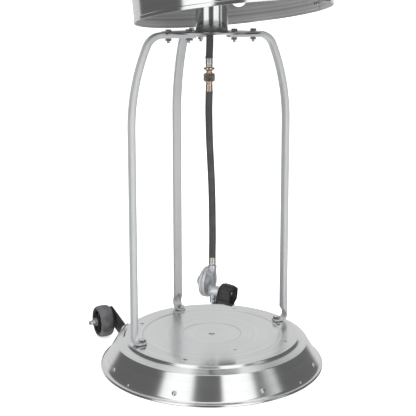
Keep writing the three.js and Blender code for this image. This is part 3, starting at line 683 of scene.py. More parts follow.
def regulator():
    """The casting with its disc, neck, inlet and lug, its cover and vent, and the hand nut."""
    place = regulator_place()
    rim = 31.5
    outlet = corners("lower_ferrule")[0].z - 0.3 - REGULATOR_HEIGHT
    disc = soft_lathe([
        (0, -10.5), (rim - 1.6, -10.5, 0.4), (rim, -9.2, 0.6), (rim, -6.4, 1.6),
        (29.4, -4.2, 1.2), (24, -2.4, 3),
        (14, 2, 4), (0, 3)], 96)
    neck = soft_lathe([
        (0, -3), (3.2, -3), (4.6, 10, 6), (8.4, outlet - 8, 3), (9, outlet - 4.6, 0.5),
        (9, outlet - 1, 0.6), (8.2, outlet, 0.3), (0, outlet)], 48).turned(-90, "Y")
    web = prism(rounded([(-29, -8.2, 2), (-29, 8.2, 2), (12, 2.4, 1.5), (12, -2.4, 1.5)]), -2, 5)
    inlet = soft_lathe([(0, -5), (10.5, -5), (10.5, 18.2, 1.2), (9.2, 19.4, 0.5), (0, 19.4)], 48)
    lug = rod(6.5, 20, 43, 1.2, 40).turned(90, "Y").moved(0, 0, 1)
    piece("regulator_casting", disc + neck + web + inlet.moved(INLET_DROP) + lug, CASTING,
          cad="regulator_body", place=place)
    bonnet = soft_lathe([
        (0, -22), (13, -21.8, 2), (20, -20.4, 3), (26, -18, 2), (28.4, -16.6, 0.6),
        (31.2, -16.2, 0.8), (31.2, -12.4, 0.8), (29.8, -10.8, 0.4), (0, -10.8)], 96)
    piece("regulator_cover", bonnet, CASTING, cad="regulator_bonnet", place=place)
    cap = soft_lathe([(0, -31), (9.4, -31, 0.5), (10, -30.2, 0.4), (10, -25, 0.6),
                         (8.6, -24.2, 0.5), (8.6, -22.4), (0, -22.4)], 48)
    piece("regulator_vent", cap, CASTING, cad="vent_cap", place=place)
    dot = rod(2.1, 5.6, 6.9, 0.2, 20)
    dots = dot.turned(45, "X").moved(34.6, 0, 1) + dot.turned(32, "X").moved(40.6, 0, 1)
    piece("regulator_plugs", dots, GRIP, place=place)
    nipple = soft_lathe([(0, 19.8), (5.2, 19.8), (5.2, 38, 1.2), (3.5, 43.4, 1.5),
                            (3, 45.4, 0.6), (1.2, 46, 0.2), (1.2, 39), (0, 39)], 40)
    piece("regulator_nipple", nipple.moved(INLET_DROP), BRASS, cad="inlet_nipple",
          place=place)
    hand_nut()


def hand_nut():
    """The black nut: a fluted barrel with six tall ribs and a hollow, threaded mouth."""
    sides = 240

    def barrel(turn, inset, ribs):
        pitch = 360 / NUT_RIBS
        from_rib = abs((turn + pitch / 2) % pitch - pitch / 2)
        tall = ribs * max(0.0, min(1.0, (NUT_RIB_HALF - from_rib) / 1.6))
        flute = FLUTE_DEPTH * cos(radians(turn * NUT_FLUTES))
        return NUT_RADIUS - FLUTE_DEPTH - inset + tall * NUT_RIB_HEIGHT + (1 - tall) * flute

    rings = []
    for height, inset, ribs in ((0, 1.2, 0), (0.8, 0.3, 0), (2, 0, 0), (6.2, 0, 0), (7, 0, 1),
                                (NUT_LENGTH - 2, 0.1, 1), (NUT_LENGTH - 0.7, 0.6, 1),
                                (NUT_LENGTH, 1.6, 0.6)):
        turns = [360 * index / sides for index in range(sides)]
        rings.append([polar(barrel(turn, inset, ribs), turn, height) for turn in turns])
    mouth = NUT_RADIUS - 3.2
    for radius, height in ((mouth, NUT_LENGTH), (mouth - 0.5, NUT_LENGTH - 0.6),
                           (mouth - 0.5, 5.6), (mouth - 1, 5), (10.3, 5), (10.3, 0)):
        rings.append(circle(radius, height, sides))
    shape = bridge(rings, loop=True)
    for step in range(7):
        height = NUT_LENGTH - 4 - step * 2.4
        shape += lathe([(mouth - 1.4, height), (mouth - 0.45, height - 0.9),
                        (mouth - 0.45, height + 0.9)], 64)
    piece("regulator_hand_nut", shape, GRIP, "hand_nut", "hand_nut", nut_place())


LOWER_HOSE = gas_hoses()
coupling()
regulator()


# ---------------------------------------------------------------- base

def base_pan():
    rim = corners("base_pan")[1].x
    top = corners("base_pan")[1].z
    bead = 2.8
    sheet = 0.5
    outside = rounded([
        (6.2, top - 3.7), (6.9, top - 3.3, 0.4), (17, top - 2.4, 7), (59.5, top - 2.4, 1.5),
        (62, top - 1.2, 1.5), (142, top - 1.2, 1), (144.4, top, 1.2), (PLATEAU_RADIUS, top, 1.4),
        (*LEDGE_FOOT, 1.6), (*CONE_TOP, 1.4), (*CONE_FOOT, 3), (rim - bead - 1.6, 5.9)])
    lip = arc(rim - bead, bead, bead, 100, -140, 14)
    inside = [
        (rim - 2 * bead - 1.2, 4.6), (CONE_FOOT[0] - 1.6, CONE_FOOT[1]),
        (CONE_TOP[0] - 1.2, CONE_TOP[1] - 1.2), (LEDGE_FOOT[0] - 1.2, LEDGE_FOOT[1] - 1.3),
        (PLATEAU_RADIUS - 1, top - sheet), (144, top - sheet), (142, top - 1.2 - sheet),
        (61, top - 2.4 - sheet), (18, top - 2.4 - sheet), (6.2, top - 3.8 - sheet)]
    holes = Shape()
    for turn in (45, 135, 225, 315):
        holes += rod(4.2, top - 9, top + 9).moved(FOOT_BOLT_RADIUS + 1).turned(turn)
    holes += rod(3.3, top - 9, top + 9).moved(104.5).turned(-90)
    holes += rod(2.6, 205, 235).turned(90, "Y").moved(0, 0, SCREW_HEIGHT)
    piece("base_dish", lathe(outside + lip + inside, 240), BASE_SHEET, cad="base_pan",
          holes=holes)


def on_cone(shape, height):
    """Leans a shape that faces along X to lie on the cone of the base at some height."""
    share = (height - CONE_FOOT[1]) / (CONE_TOP[1] - CONE_FOOT[1])
    radius = CONE_FOOT[0] + (CONE_TOP[0] - CONE_FOOT[0]) * share
    return shape.turned(CONE_SLOPE - 90, "Y").moved(radius, 0, height)


def base_screws():
    """Round-headed screws round the cone, and two rivets near its foot."""
    head = lathe([(0, -0.4), (4.8, -0.4), (4.8, 0.3)] + [
        (4.8 * cos(radians(turn)), 0.3 + 2.2 * sin(radians(turn)))
        for turn in (18, 36, 54, 72)] + [(1.6, 2.4), (1.3, 1.6), (0, 1.6)], 32)
    spots = [(turn, SCREW_HEIGHT, 1.0) for turn in (180, 225, 270, 315)]
    spots += [(197, 10.4, 0.55), (295, 10.4, 0.55)]
    for index, (turn, height, size) in enumerate(spots):
        shape = on_cone(head.by(Matrix.Scale(size, 4)).turned(90, "Y"), height)
        piece(f"base_screw_{index + 1}", shape.turned(turn), ZINC)


# ---------------------------------------------------------------- legs

LEG_WIDTH = 18
LEG_DEPTH = 12
LEG_CORNER = 4
SHOULDER_BEND = 35
SHOULDER_TURN = 66.6
LONG_CURVE = 403
FOOT_WIDTH = 20
FOOT_BEND = 12
FOOT_TIP = 146  # radius
FOOT_SHIFT = (LEG_DEPTH - FOOT_THICKNESS) / 2  # from the tube's middle to the flat foot's
TIP_TURNS = (20, 40, 60, 78)  # degrees along the foot's round tip
SEAT_DEPTH = 3.7  # the arm's top is pressed down, so that the flange lies flush
SEAT_END = 103.4  # radius
SEAT_SLOPE = 2.6
POCKET_TOP = 30  # above the foot's middle, where the inner wall starts to turn in
POCKET_SLOPE = 8
FOLD_TOP = 26  # the same for the side walls, which fold more slowly
FOLD_SLOPE = 14
TIP_LENGTH = 9
TIP_HALF_WIDTH = 2


def leg_stations():
    """The middle line of the right leg, from its arm to its foot."""
    low, high = corners("leg_right")
    leg_radius = high.x - LEG_DEPTH / 2
    arm = high.z - LEG_DEPTH / 2
    curve_x = leg_radius - LONG_CURVE
    shoulder_end = curve_x + LONG_CURVE * sin(radians(SHOULDER_TURN))
    shoulder_x = shoulder_end - SHOULDER_BEND * sin(radians(SHOULDER_TURN))
    shoulder_z = arm - SHOULDER_BEND
    end_z = shoulder_z + SHOULDER_BEND * cos(radians(SHOULDER_TURN))
    curve_z = end_z - LONG_CURVE * cos(radians(SHOULDER_TURN))
    foot_z = low.z + FOOT_THICKNESS / 2
    foot_top = low.z + FOOT_THICKNESS
    line = [(low.x, arm), (SEAT_END - 8, arm)]
    line += [(SEAT_END - SEAT_SLOPE * (1 - step / 5), arm) for step in range(6)]
    line += arc(shoulder_x, shoulder_z, SHOULDER_BEND, 90, 90 - SHOULDER_TURN, 16)
    line += arc(curve_x, curve_z, LONG_CURVE, 90 - SHOULDER_TURN, 0, 30)[1:]
    line += [(leg_radius, foot_top + 60)]
    line += [(leg_radius, foot_top + 33 - step * 1.25) for step in range(18)]
    line += arc(leg_radius + FOOT_SHIFT - FOOT_BEND, foot_z + FOOT_BEND, FOOT_BEND - FOOT_SHIFT,
                0, -90, 8)
    line += [(FOOT_TIP + TIP_LENGTH * (1 - sin(radians(turn))), foot_z + FOOT_SHIFT)
             for turn in (0, *TIP_TURNS)]
    return [Vector((x, 0, z)) for x, z in line]


def eased(share):
    share = min(1.0, max(0.0, share))
    return share * share * (3 - 2 * share)


def leg_section(stations, index):
    """The tube, whose inner wall is pressed against the outer wall towards the foot."""
    above = stations[index].z - stations[-1].z + FOOT_SHIFT - FOOT_THICKNESS / 2
    pocket = eased((POCKET_TOP - above) / POCKET_SLOPE)
    folds = eased((FOLD_TOP - above) / FOLD_SLOPE)
    half_width = (LEG_WIDTH + (FOOT_WIDTH - LEG_WIDTH) * folds) / 2
    from_end = len(stations) - 1 - index
    if from_end < len(TIP_TURNS):
        share = cos(radians(TIP_TURNS[-1 - from_end]))
        half_width = TIP_HALF_WIDTH + (half_width - TIP_HALF_WIDTH) * share
    half = LEG_DEPTH / 2
    seat = SEAT_DEPTH * eased((SEAT_END - stations[index].x) / SEAT_SLOPE)
    on_arm = index < len(stations) / 3
    top = half - seat * on_arm
    corner = min(LEG_CORNER, half_width)
    outline = [(x * half_width, -half) for x in (-0.5, -0.3, 0, 0.3, 0.5)]
    outline += rounded([(half_width, -half, corner), (half_width, half, corner),
                        (-half_width, half, corner), (-half_width, -half, corner)])
    section = []
    for x, y in outline:
        share = pocket if abs(x) < 0.4 * half_width else folds
        squeeze = 1 - (1 - FOOT_THICKNESS / LEG_DEPTH) * share
        section.append((x, min(top, half - (half - y) * squeeze)))
    return section


def legs():
    stations = leg_stations()
    shape = sweep(stations, lambda index: leg_section(stations, index))
    for side, turn in LEG_TURNS.items():
        piece(f"{side}_leg", shape.turned(turn), PAINT, cad=f"leg_{side}")


def foot_bolts():
    """A hexagon screw through the foot and the base, with its nut below."""
    low, high = corners("foot_bolt_right")
    foot_top = corners("leg_right")[0].z + FOOT_THICKNESS
    shape = nut(13, foot_top + 0.3, high.z) + rod(4, foot_top - 6, foot_top + 1)
    shape += thread(4, low.z, foot_top - 5.5, 1.25) + nut(13, low.z + 2.5, low.z + 9)
    for side, turn in LEG_TURNS.items():
        placed = shape.moved(FOOT_BOLT_RADIUS).turned(turn)
        piece(f"{side}_foot_bolt", placed, ZINC, cad=f"foot_bolt_{side}")


# ---------------------------------------------------------------- flange and post

def flange():
    low, high = corners("post_flange")
    disc = tube(24, high.x, low.z, high.z, 0.7, 180)
    piece("flange_plate", disc, DARK_PLATE, cad="post_flange")
    low, high = corners("flange_bolt_right_inner")
    top = corners("post_flange")[1].z
    arm_low = corners("leg_right")[1].z - LEG_DEPTH
    shape = nut(10.5, top + 0.5, top + 5.2) + tube(BOLT_RADIUS, 6.3, top + 0.1, top + 0.9, 0.35, 48)
    shape += rod(BOLT_RADIUS, arm_low, top + 1) + nut(10.5, arm_low - 5, arm_low - 0.3)
    shape += thread(BOLT_RADIUS, low.z, arm_low)
    for side, turn in LEG_TURNS.items():
        for row, radius in ARM_BOLTS.items():
            placed = shape.moved(radius).turned(turn)
            piece(f"{side}_{row}_bolt", placed, ZINC, cad=f"flange_bolt_{side}_{row}")


POST_WALL = 1.5


def post():
    low, high = corners("post")
    piece("post_tube", tube(high.x - POST_WALL, high.x, low.z, high.z, 0.4, 128), POST_TUBE,
          cad="post")
    bead = soft_lathe([(high.x + 0.05, low.z), (high.x + 2.6, low.z, 0.8),
                          (high.x + 0.05, low.z + 2.6, 0.8)], 128)
    piece("post_weld", bead, DARK_PLATE)


# ---------------------------------------------------------------- wheels

BRACKET_SPREAD = 130.6  # from the pair's middle plane
BRACKET_SHEET = 3
TAB_TURN = 41.3  # degrees from the pair's middle plane
TAB_HEIGHT = 33
WHEEL_WIDTH = 30
PLATE_FACE = -22.3  # the bracket's inner face along the axle


def wheels_turn():
    """How far the pair of wheels is turned about the post, in degrees."""
    axis = joint_axis("wheel_left_spin")
    return degrees(atan2(axis.y, axis.x))


def bracket_outline(y, z):
    """The side plate's outline about the axle; its near edge follows the slope of the base."""
    return rounded([
        (150.8, 48.5, 1.5), (y, z + 31.5, 16), (y + 10, z + 28, 8), (y + 17, z + 18, 8),
        (y + 19, z + 4, 8), (y + 16, z - 9, 8), (y - 21, 22, 10), (193.3, 17, 4),
        (176.8, 15, 1)], 5)


def wheel_bracket(side, sign):
    turn = wheels_turn()
    _, y, z = Matrix.Rotation(radians(-turn), 4, "Z") @ joint_place(f"wheel_{side}_spin")
    rings = [[Vector((sign * BRACKET_SPREAD + x, *point)) for point in bracket_outline(y, z)]
             for x in (-BRACKET_SHEET / 2, BRACKET_SHEET / 2)]
    piece(f"{side}_bracket_plate", bridge(rings).turned(turn), BRACKET,
          cad=f"wheel_bracket_{side}", bevel=0.5)
    tab = block(2.2, 24, 40, 0.5)
    for height in (10, -10):
        tab += rod(4, 0, 3, 0.9).turned(90, "Y").moved(0.8, 0, height)
    placed = on_cone(tab.moved(1.9), TAB_HEIGHT)
    piece(f"{side}_bracket_tab", placed.turned(90 - sign * TAB_TURN + turn), ZINC)


def both_ways(outline, *middle_points):
    """An outline followed by its mirror image in height."""
    return outline + list(middle_points) + [(radius, -height, cut)
                                            for radius, height, cut in reversed(outline)]


def wheel(side, sign):
    half = WHEEL_WIDTH / 2
    spin = joint_place(f"wheel_{side}_spin")
    turn = Matrix.Rotation(radians(wheels_turn()), 4, "Z")
    place = Matrix.Translation(spin * MM) @ turn @ Matrix.Rotation(sign * pi / 2, 4, "Y")
    body = f"wheel_{side}"
    tyre = soft_lathe(both_ways([
        (28, -half, 0.4), (30.8, -half, 1.2), (33.6, -half + 3, 3), (34.6, -half + 8, 4)],
        (35, 0, 6)), 128, 5)
    piece(f"{side}_tyre", tyre, TYRE, body, f"wheel_tyre_{side}", place)
    hub = soft_lathe(both_ways([
        (5.6, -half + 1, 0.4), (10, -half + 1, 1), (10, -4, 2), (24.3, -3, 2),
        (24.3, -half + 1.4, 0.6), (27.7, -half + 1.4, 0.6)]), 96, 3)
    for turn in range(0, 360, 60):
        rib = block(14, 2.4, 2 * half - 8, 0.5).moved(17.2, 0, 0)
        hub += rib.turned(turn)
    piece(f"{side}_hub", hub, HUB, body, f"wheel_hub_{side}", place)
    bolt = nut(16, PLATE_FACE - 6, PLATE_FACE) + rod(5, PLATE_FACE - 2, half + 2)
    bolt += thread(5, half, half + 18.6, 1.4)
    bolt += tube(4.8, 9, half + 1, half + 3, 0.35, 48) + nut(14, half + 3.1, half + 10)
    piece(f"{side}_axle", bolt, ZINC, cad=f"axle_bolt_{side}", place=place)


# ---------------------------------------------------------------- tank cover

def cover_place():
    """The cover's own frame, upright about its top centre, leaning as it hangs."""
    lean = radians(joint("cover_tilt")["range_deg"][1])
    turn = Matrix.Rotation(-lean, 4, joint_axis("cover_tilt"))
    return Matrix.Translation(joint_place("cover_tilt") * MM) @ turn


def wall_piece(name, profile, first, last, finish, cad=None, holes=None):
    """A stretch of the cover's wall from one turn to another, in degrees."""
    steps = max(2, int(abs(last - first) / 1.5))
    rings = []
    for step in range(steps + 1):
        turn = first + (last - first) * step / steps
        rings.append([polar(radius, turn, height) for radius, height in profile])
    return piece(name, bridge(rings), finish, "cover", cad, cover_place(), holes)


COVER_INNER = 187.6
COVER_SHEET = 0.8
COVER_HEIGHT = 620


def hand_hole():
    hole = rod(HAND_HOLE_RADIUS, 150, 220, sides=64).turned(90, "Y").turned(HAND_HOLE_TURN)
    return hole.moved(0, 0, HAND_HOLE_HEIGHT - COVER_HEIGHT)


def tank_cover():
    """Two rolled half panels. The outer skin is bright and the inner skin shows rolled lines."""
    low = -COVER_HEIGHT
    between = COVER_INNER + COVER_SHEET / 2
    outer = COVER_INNER + COVER_SHEET
    top = -1.3
    levels = [low + 9 + (top - low - 9) * step / 24 for step in range(25)]
    skin = [(outer, z) for z in levels]
    lining = [(COVER_INNER, z) for z in reversed(levels)]
    hem = [(between, low + 9), (between, low + 2.2)] + arc(
        outer + 0.1, low + 1.3, 1.1, 180, 360, 8) + [(outer + 1.2, low + 6.4), (outer, low + 7.6)]
    inner_hem = [(COVER_INNER, low + 2), (COVER_INNER + 0.1, low + 1.2), (between, low + 1)]
    for side, first in (("back", 0.05), ("front", 180.05)):
        holes = hand_hole() if side == "back" else None
        wall_piece(f"{side}_cover_skin", hem + skin + [(between, top)], first, first + 179.9,
                   COVER_OUTSIDE, f"cover_{side}_panel", holes)
        inside = inner_hem + [(between - 0.02, z) for z in levels] + lining
        wall_piece(f"{side}_cover_lining", inside, first, first + 179.9, COVER_INSIDE, None, holes)


def cover_trim():
    """The lid, the seam straps inside, and the rivets through them."""
    place = cover_place()
    lip = COVER_INNER - 0.3
    lid = soft_lathe([
        (COVER_HOLE, -1), (lip - 1, -1, 0.4), (lip - 1, -16), (lip, -16), (lip, -1.2, 0.2),
        (lip + 1.4, -1.2, 0.4), (lip + 1.4, -0.1, 0.6), (120, 0, 8), (110, -0.9, 6), (60, -0.9, 6),
        (54, 0, 3), (COVER_HOLE, 0)], 180)
    piece("cover_top", lid, COVER_OUTSIDE, "cover", "cover_lid", place)
    for side, turn in (("right", 0), ("left", 180)):
        strap = [(COVER_INNER - 1.5, 2 - COVER_HEIGHT), (COVER_INNER - 0.5, 2 - COVER_HEIGHT),
                 (COVER_INNER - 0.5, -20), (COVER_INNER - 1.5, -20)]
        wall_piece(f"{side}_cover_seam", strap, turn - 2.6, turn + 2.6, COVER_INSIDE,
                   f"cover_seam_{side}")
        rivets = Shape()
        for height in (15, 160, 305, 450, 580):
            for shift in (-1.4, 1.4):
                head = lathe([(0, -3), (3.2, -3), (3.4, -2.4), (2.6, -1.4), (1.2, -1), (0, -1)], 24)
                head = head.turned(-90, "Y").moved(COVER_INNER - 4, 0, height - COVER_HEIGHT)
                rivets += head.turned(turn + shift)
        piece(f"{side}_cover_rivets", rivets, ZINC, "cover", None, place)


def guide_collar():
    low, high = corners("cover_guide")
    bore = corners("post")[1].x + 0.5
    shape = soft_lathe([
        (bore, low.z, 0.8), (high.x, low.z, 2), (high.x, low.z + 11, 2), (38, low.z + 12.6, 1.5),
        (35.3, low.z + 15, 1.5), (35.3, high.z, 1), (bore, high.z, 0.8)], 96)
    for turn in range(0, 360, 30):
        shape += block(8, 2.6, 9, 0.6).moved(40, 0, low.z + 14.6).turned(turn)
    piece("collar", shape, KNOB, "cover_guide", "cover_guide")


# ---------------------------------------------------------------- head

def frontward(shape, turn=0):
    """Turns a shape drawn up the Z axis towards the front, at the height of the controls."""
    return shape.turned(90, "X").turned(turn).moved(0, 0, joint_place("knob_turn").z)


IGNITER_TURN = 34


def housing():
    low, high = corners("control_housing")
    radius, flare = 100, high.x
    shell = soft_lathe([
        (28, low.z), (radius, low.z, 3), (radius, high.z - 14, 4), (flare, high.z, 1),
        (flare - 2.6, high.z), (radius - 1.4, high.z - 13), (radius - 1.4, low.z + 1.4),
        (28, low.z + 1.4)], 160)
    holes = frontward(rod(7, 80, 120)) + frontward(rod(10.5, 80, 120), IGNITER_TURN)
    for turn in range(0, 360, 15):
        if turn not in (255, 270, 285, 300, 315):
            slot = prism(rounded([(-3, -14, 2.9), (3, -14, 2.9), (3, 14, 2.9), (-3, 14, 2.9)]),
                         90, 110)
            slot = slot.turned(90, "X").turned(90 + turn).moved(0, 0, low.z + 40)
            holes += slot
    piece("burner_housing", shell, STAINLESS, cad="control_housing", holes=holes)
    ring_low = low.z + 92
    seam = lathe([(radius + 0.02, ring_low), (radius + 1, ring_low + 1), (radius + 1, ring_low + 5),
                  (radius + 0.02, ring_low + 6)], 160)
    piece("housing_bead", seam, STAINLESS)


def controls():
    """The valve, its spindle and knob, the igniter and the tilt switch."""
    x, _, low, high = upright("gas_valve")
    body = block(36, 34, 34, 2).moved(0, -40, joint_place("knob_turn").z)
    body += soft_lathe([(0, low), (9, low, 1), (9, high, 1), (0, high)]).moved(0, -40)
    body += frontward(soft_lathe([(0, 50), (12, 50, 1), (12, 82, 1.5), (4.6, 82, 0.4),
                                     (4.6, 71), (0, 71)]))
    body += frontward(nut(26, 58, 66)).moved(x)
    piece("valve_block", body, BRASS, cad="gas_valve")
    stem = frontward(rod(4, 78.6, 117, 0.6))
    piece("valve_spindle", stem, ZINC, "valve_stem", "valve_stem")
    dial = soft_lathe([(0, 109.4), (26.6, 109.4, 1), (26.8, 113.6, 1.4), (23.2, 115.6, 1.4),
                          (21, 127.6, 2), (0, 129)], 96)
    grip = block(9, 44, 12, 2.4).moved(0, 0, 126)
    for turn in range(0, 360, 15):
        dial += rod(1.1, 115.6, 126.6, 0.5, 12).moved(22.1).turned(turn)
    piece("dial", frontward(dial + grip), KNOB, "control_knob", "control_knob")
    mark = frontward(block(1.6, 9, 0.5, 0.2).moved(0, 16, 132.1))
    piece("dial_mark", mark, GLAZE, "control_knob")
    barrel = soft_lathe([(0, 60), (10, 60, 1), (10, 96, 1), (7.2, 96.6, 0.6), (7.2, 80), (0, 80)])
    collar = soft_lathe([(10.6, 100.4), (13, 100.4, 0.6), (13, 102.6, 0.8), (10.6, 102.6)])
    piece("igniter_barrel", frontward(barrel + collar, IGNITER_TURN), KNOB,
          cad="igniter_body")
    button = soft_lathe([(0, 88), (6.6, 88), (6.6, 106, 1.4), (0, 107.8)], 48)
    piece("igniter_push_button", frontward(button, IGNITER_TURN), KNOB, "igniter_button",
          "igniter_button")
    x, y, low, high = upright("tilt_switch")
    switch = block(30, 18, 2, 0.6).moved(0, 0, low + 1.2) + rod(8, low + 1, high, 1.2, 40)
    piece("tilt_sensor", switch.moved(x, y), KNOB, cad="tilt_switch")


def smooth_line(route, steps=8):
    """Points on a smooth curve through a route, closer together than its own points."""
    points = [Vector(place) for place in route]
    padded = [points[0] * 2 - points[1]] + points + [points[-1] * 2 - points[-2]]
    line = []
    for index in range(1, len(padded) - 2):
        before, start, end, after = padded[index - 1:index + 3]
        for step in range(steps):
            t = step / steps
            line.append(0.5 * (2 * start + (end - before) * t
                               + (2 * before - 5 * start + 4 * end - after) * t * t
                               + (3 * start - before - 3 * end + after) * t ** 3))
    return line + [points[-1]]


def burner_set():
    """The gas pipe, the burner, its deck, the flame sensor and the spark electrode."""
    deck = corners("emitter_deck")[0].z
    pipe_low = corners("burner_pipe")[0].z
    route = ((0, -40, pipe_low), (0, -40, pipe_low + 15.7), (0, -32, pipe_low + 31.7),
             (0, -16, pipe_low + 41.7), (0, -2, pipe_low + 53.7), (0, 0, deck - 5), (0, 0, deck + 10))
    section = arc(0, 0, 5, 0, 345, 23)
    piece("gas_pipe", sweep(smooth_line(route), lambda index: section, Vector((1, 0, 0))), BRASS,
          cad="burner_pipe")
    dish = soft_lathe([
        (11.6, deck + 4), (13, deck + 4), (13, deck + 24, 4), (30, deck + 38, 5),
        (62, deck + 42, 2), (62, deck + 60, 3), (0, deck + 64), (0, deck + 62),
        (60.4, deck + 58, 2), (60.4, deck + 43.6, 2), (29, deck + 39.6, 4), (11.6, deck + 24.6, 3)],
        96)
    piece("burner_dish", dish, BURNER, cad="burner")
    low, high = corners("emitter_deck")
    plate = tube(10, high.x, low.z, high.z, 0.6, 180)
    holes = Shape()
    for turn in range(0, 360, 20):
        holes += rod(3, low.z - 3, high.z + 3, sides=20).moved(94).turned(turn)
    for node in ("thermocouple", "electrode"):
        x, y = middle(node)[:2]
        holes += rod(4.5, low.z - 3, high.z + 3, sides=24).moved(x, y)
    piece("burner_deck", plate, STAINLESS, cad="emitter_deck", holes=holes)
    x, y, low, high = upright("thermocouple")
    probe = soft_lathe([(0, low), (3, low, 0.5), (3, high - 14, 0.6), (2.2, high - 12, 0.5),
                           (2.2, high, 1.6), (0, high)])
    piece("flame_sensor", probe.moved(x, y), ZINC, cad="thermocouple")
    x, y, low, high = upright("electrode")
    spark = soft_lathe([(0, low), (4, low, 0.6), (4, high - 22, 1), (1.5, high - 20, 0.4),
                           (1.5, high, 0.5), (0, high)])
    piece("spark_electrode", spark.moved(x, y), GLAZE, cad="electrode")


def emitter_screen():
    """A cylinder of sheet with rows of round holes between two plain bands."""
    low, high = corners("emitter_screen")
    outer = high.x
    inner = outer - 0.8
    columns, rows = 72, 34
    band = 12
    cell_turn = 2 * pi / columns
    cell_height = (high.z - low.z - 2 * band) / rows
    hole = 3.6
    points, faces = [], []

    def at(radius, turn, height):
        points.append((radius * cos(turn), radius * sin(turn), height))
        return len(points) - 1

    corners_of_cell = [(1, 0), (1, 1), (0, 1), (-1, 1), (-1, 0), (-1, -1), (0, -1), (1, -1)]
    for row in range(rows):
        for column in range(columns):
            turn = (column + 0.5 * (row % 2)) * cell_turn
            height = low.z + band + (row + 0.5) * cell_height
            rings = []
            for radius in (outer, inner):
                edge = [at(radius, turn + x * cell_turn / 2, height + y * cell_height / 2)
                        for x, y in corners_of_cell]
                round_edge = [at(radius, turn + hole / outer * cos(radians(45 * k)),
                                 height + hole * sin(radians(45 * k)))
                              for k in range(8)]
                rings.append((edge, round_edge))
            (out_edge, out_hole), (in_edge, in_hole) = rings
            for k in range(8):
                n = (k + 1) % 8
                faces.append((out_edge[k], out_edge[n], out_hole[n], out_hole[k]))
                faces.append((in_edge[n], in_edge[k], in_hole[k], in_hole[n]))
                faces.append((out_hole[k], out_hole[n], in_hole[n], in_hole[k]))
    mesh = Shape(points, faces)
    bands = tube(inner, outer, low.z, low.z + band, 0.05, columns * 2)
    bands += tube(inner, outer, high.z - band, high.z, 0.05, columns * 2)
    piece("perforated_screen", mesh + bands, BURNER, cad="emitter_screen")


def flame_guard():
    low, high = corners("flame_guard")
    screen = corners("emitter_screen")[1].x
    lid = soft_lathe([
        (0, high.z - 1.6), (screen + 2, high.z - 1.6), (screen + 2, low.z), (screen + 3.2, low.z, 0.4),
        (screen + 3.4, high.z - 2, 1), (high.x - 1, high.z - 2.4, 1), (high.x, high.z - 1.6, 0.6),
        (high.x - 1, high.z, 1), (0, high.z)], 180)
    piece("guard_plate", lid, STAINLESS, cad="flame_guard")


def reflector():
    """A dished hood with pressed ribs and a rolled rim, and its three studs with wing nuts."""
    low, high = corners("reflector")
    top = high.z - 1.2
    rim = high.x
    sheet = 1.1
    outside = rounded([
        (0, top + sheet), (116, top + sheet), (120, top + sheet, 3), (150, top - 3, 10),
        (206, top - 16, 2), (209, top - 15.6, 2), (212, top - 17.4, 2), (260, top - 32, 12),
        (330, top - 56, 20), (rim - 4.4, low.z + 5, 1.5)])
    roll = arc(rim - 2.4, low.z + 2.5, 2.4, 100, -150, 12)
    inside = [(rim - 6.4, low.z + 4.4), (330, top - 57.4), (260, top - 33.4), (211, top - 18.6),
              (206, top - 17.2), (150, top - 4.2), (120, top - 0.1), (0, top)]
    hood = lathe(outside + roll + inside, 240)
    piece("hood", hood, REFLECTOR_SHEET, cad="reflector")
    guard = corners("flame_guard")[1].z
    screen_top = corners("emitter_screen")[1].z
    stud = thread(4, top, top + 15, 1.2) + rod(4, guard - 6, top + 1)
    stud += rod(7, guard + 0.3, top - 0.3, 0.6, 40) + nut(14, screen_top - 7, screen_top)
    stud += soft_lathe([(4, top + 1.6), (7.4, top + 1.6, 0.6), (5.6, top + 8, 0.8),
                           (4, top + 8)], 40)
    wing = prism(rounded([(4, 2, 1), (13.5, 5, 3), (15, 11, 3), (11.5, 11.6, 2), (4, 7, 2)]), -1.2, 1.2)
    wing = wing.turned(90, "X").moved(0, 0, top)
    stud += wing + wing.turned(180)
    for index, turn in enumerate(STUD_TURNS):
        placed = stud.turned(turn * 2).moved(*polar(STUD_RADIUS, turn))
        piece(f"hood_stud_{index + 1}", placed, ZINC, cad=f"reflector_stud_{index + 1}")


# ---------------------------------------------------------------- studio

BACKDROP = 1.3  # brightness behind the object
CEILING = 1.15
CEILING_EDGE = (0.8, 0.95)  # upward part of a direction, where the walls fade into the ceiling


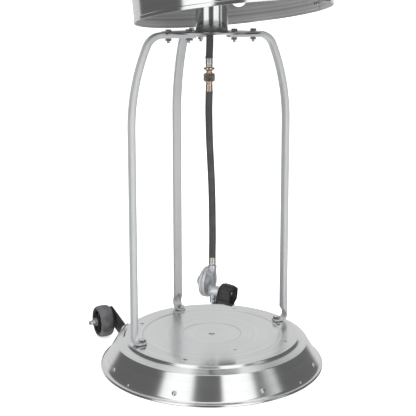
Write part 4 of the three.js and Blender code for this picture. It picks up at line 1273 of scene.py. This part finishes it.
def studio_light():
    """A white room whose walls have dark stretches, which the bright metal reflects."""
    world = bpy.data.worlds.new("studio")
    bpy.context.scene.world = world
    world.use_nodes = True
    tree = world.node_tree
    tree.nodes.clear()

    def add(kind, inputs=None, output=0, **settings):
        return add_node(tree, kind, inputs, **settings).outputs[output]

    def mix(share, first, second):
        return add("ShaderNodeMix", {0: share, 6: first, 7: second}, 2, data_type="RGBA")

    def grey(brightness):
        return (brightness,) * 3 + (1,)

    direction = add("ShaderNodeTexCoord", output="Generated")
    parts = add_node(tree, "ShaderNodeSeparateXYZ", {0: direction}).outputs
    azimuth = add("ShaderNodeMath", {0: parts["Y"], 1: parts["X"]}, operation="ARCTAN2")
    share = add("ShaderNodeMapRange", {"Value": azimuth, "From Min": -pi, "From Max": pi})
    walls = add_node(tree, "ShaderNodeValToRGB", {0: share})
    # (azimuth in degrees from -180 to 180, brightness there)
    bands = ((-180, 0.14), (-177, 0.14), (-174, 1.3), (-140, 1.3), (-137, 0.13), (-105, 0.13),
             (-102, 1.3), (-66, 1.3), (-64, 0.12), (-56, 0.16), (-40, 1.0), (-37, 0.14),
             (24, 0.16), (32, 0.72), (109, 0.72), (115, 0.14))
    ramp = walls.color_ramp
    while len(ramp.elements) > 1:
        ramp.elements.remove(ramp.elements[0])
    ramp.elements[0].position = 0
    ramp.elements[0].color = grey(bands[0][1])
    for turn, brightness in bands[1:]:
        ramp.elements.new((turn + 180) / 360).color = grey(brightness)
    edge = {"Value": parts["Z"], "From Min": CEILING_EDGE[0], "From Max": CEILING_EDGE[1]}
    height = add("ShaderNodeMapRange", edge, interpolation_type="SMOOTHSTEP")
    room = mix(height, walls.outputs[0], grey(CEILING))
    seen = mix(add("ShaderNodeLightPath", output="Is Camera Ray"), room, grey(BACKDROP))
    background = add("ShaderNodeBackground", {"Color": seen})
    add_node(tree, "ShaderNodeOutputWorld", {0: background})


def lamp(name, place, target, size, power):
    """A soft box that is not seen in the bright metal."""
    data = bpy.data.lights.new(name, "AREA")
    data.shape = "RECTANGLE"
    data.size, data.size_y = size
    data.energy = power
    made = in_scene(name, data)
    made.visible_glossy = False
    made.location = place
    made.rotation_euler = (Vector(target) - Vector(place)).to_track_quat("-Z", "Y").to_euler()


FLOOR_REACH = 30  # metres
FLOOR_LEVEL = -0.0004
FLOOR_GLOW = 0.6
GLOW_EDGE = (0.21, 0.226)  # metres from the post


def floor():
    """A plain pale floor that glows a little, but stays dark under the base."""
    mesh = bpy.data.meshes.new("floor")
    sides = ((-1, -1), (1, -1), (1, 1), (-1, 1))
    mesh.from_pydata([(FLOOR_REACH * x, FLOOR_REACH * y, FLOOR_LEVEL) for x, y in sides], [],
                     [(0, 1, 2, 3)])
    made = in_scene("floor", mesh)
    graph = Graph("pale_floor", (0.9, 0.9, 0.9), 0.6)
    graph.shader.inputs["Emission Color"].default_value = (1, 1, 1, 1)
    glow = graph.spread(graph.about_axis()[0], 0.0, FLOOR_GLOW, *GLOW_EDGE)
    graph.drive("Emission Strength", glow)
    made.data.materials.append(graph.material)
    made.visible_glossy = False


# ---------------------------------------------------------------- the heater

base_pan()
base_screws()
legs()
foot_bolts()
flange()
post()
for wheel_side, wheel_sign in (("left", -1), ("right", 1)):
    wheel_bracket(wheel_side, wheel_sign)
    wheel(wheel_side, wheel_sign)
tank_cover()
cover_trim()
guide_collar()
housing()
controls()
burner_set()
emitter_screen()
flame_guard()
reflector()
studio_light()
lamp("key", (-1.6, -2.4, 3.2), (0, 0, 0.4), (2.2, 2.2), 60)
lamp("fill", (2.2, -1.4, 2.6), (0, 0, 0.4), (2.0, 2.0), 40)
lamp("back", (0.6, 2.6, 3.0), (0, 0, 0.4), (2.4, 2.0), 40)
floor()
bpy.context.scene.view_settings.view_transform = "Standard"
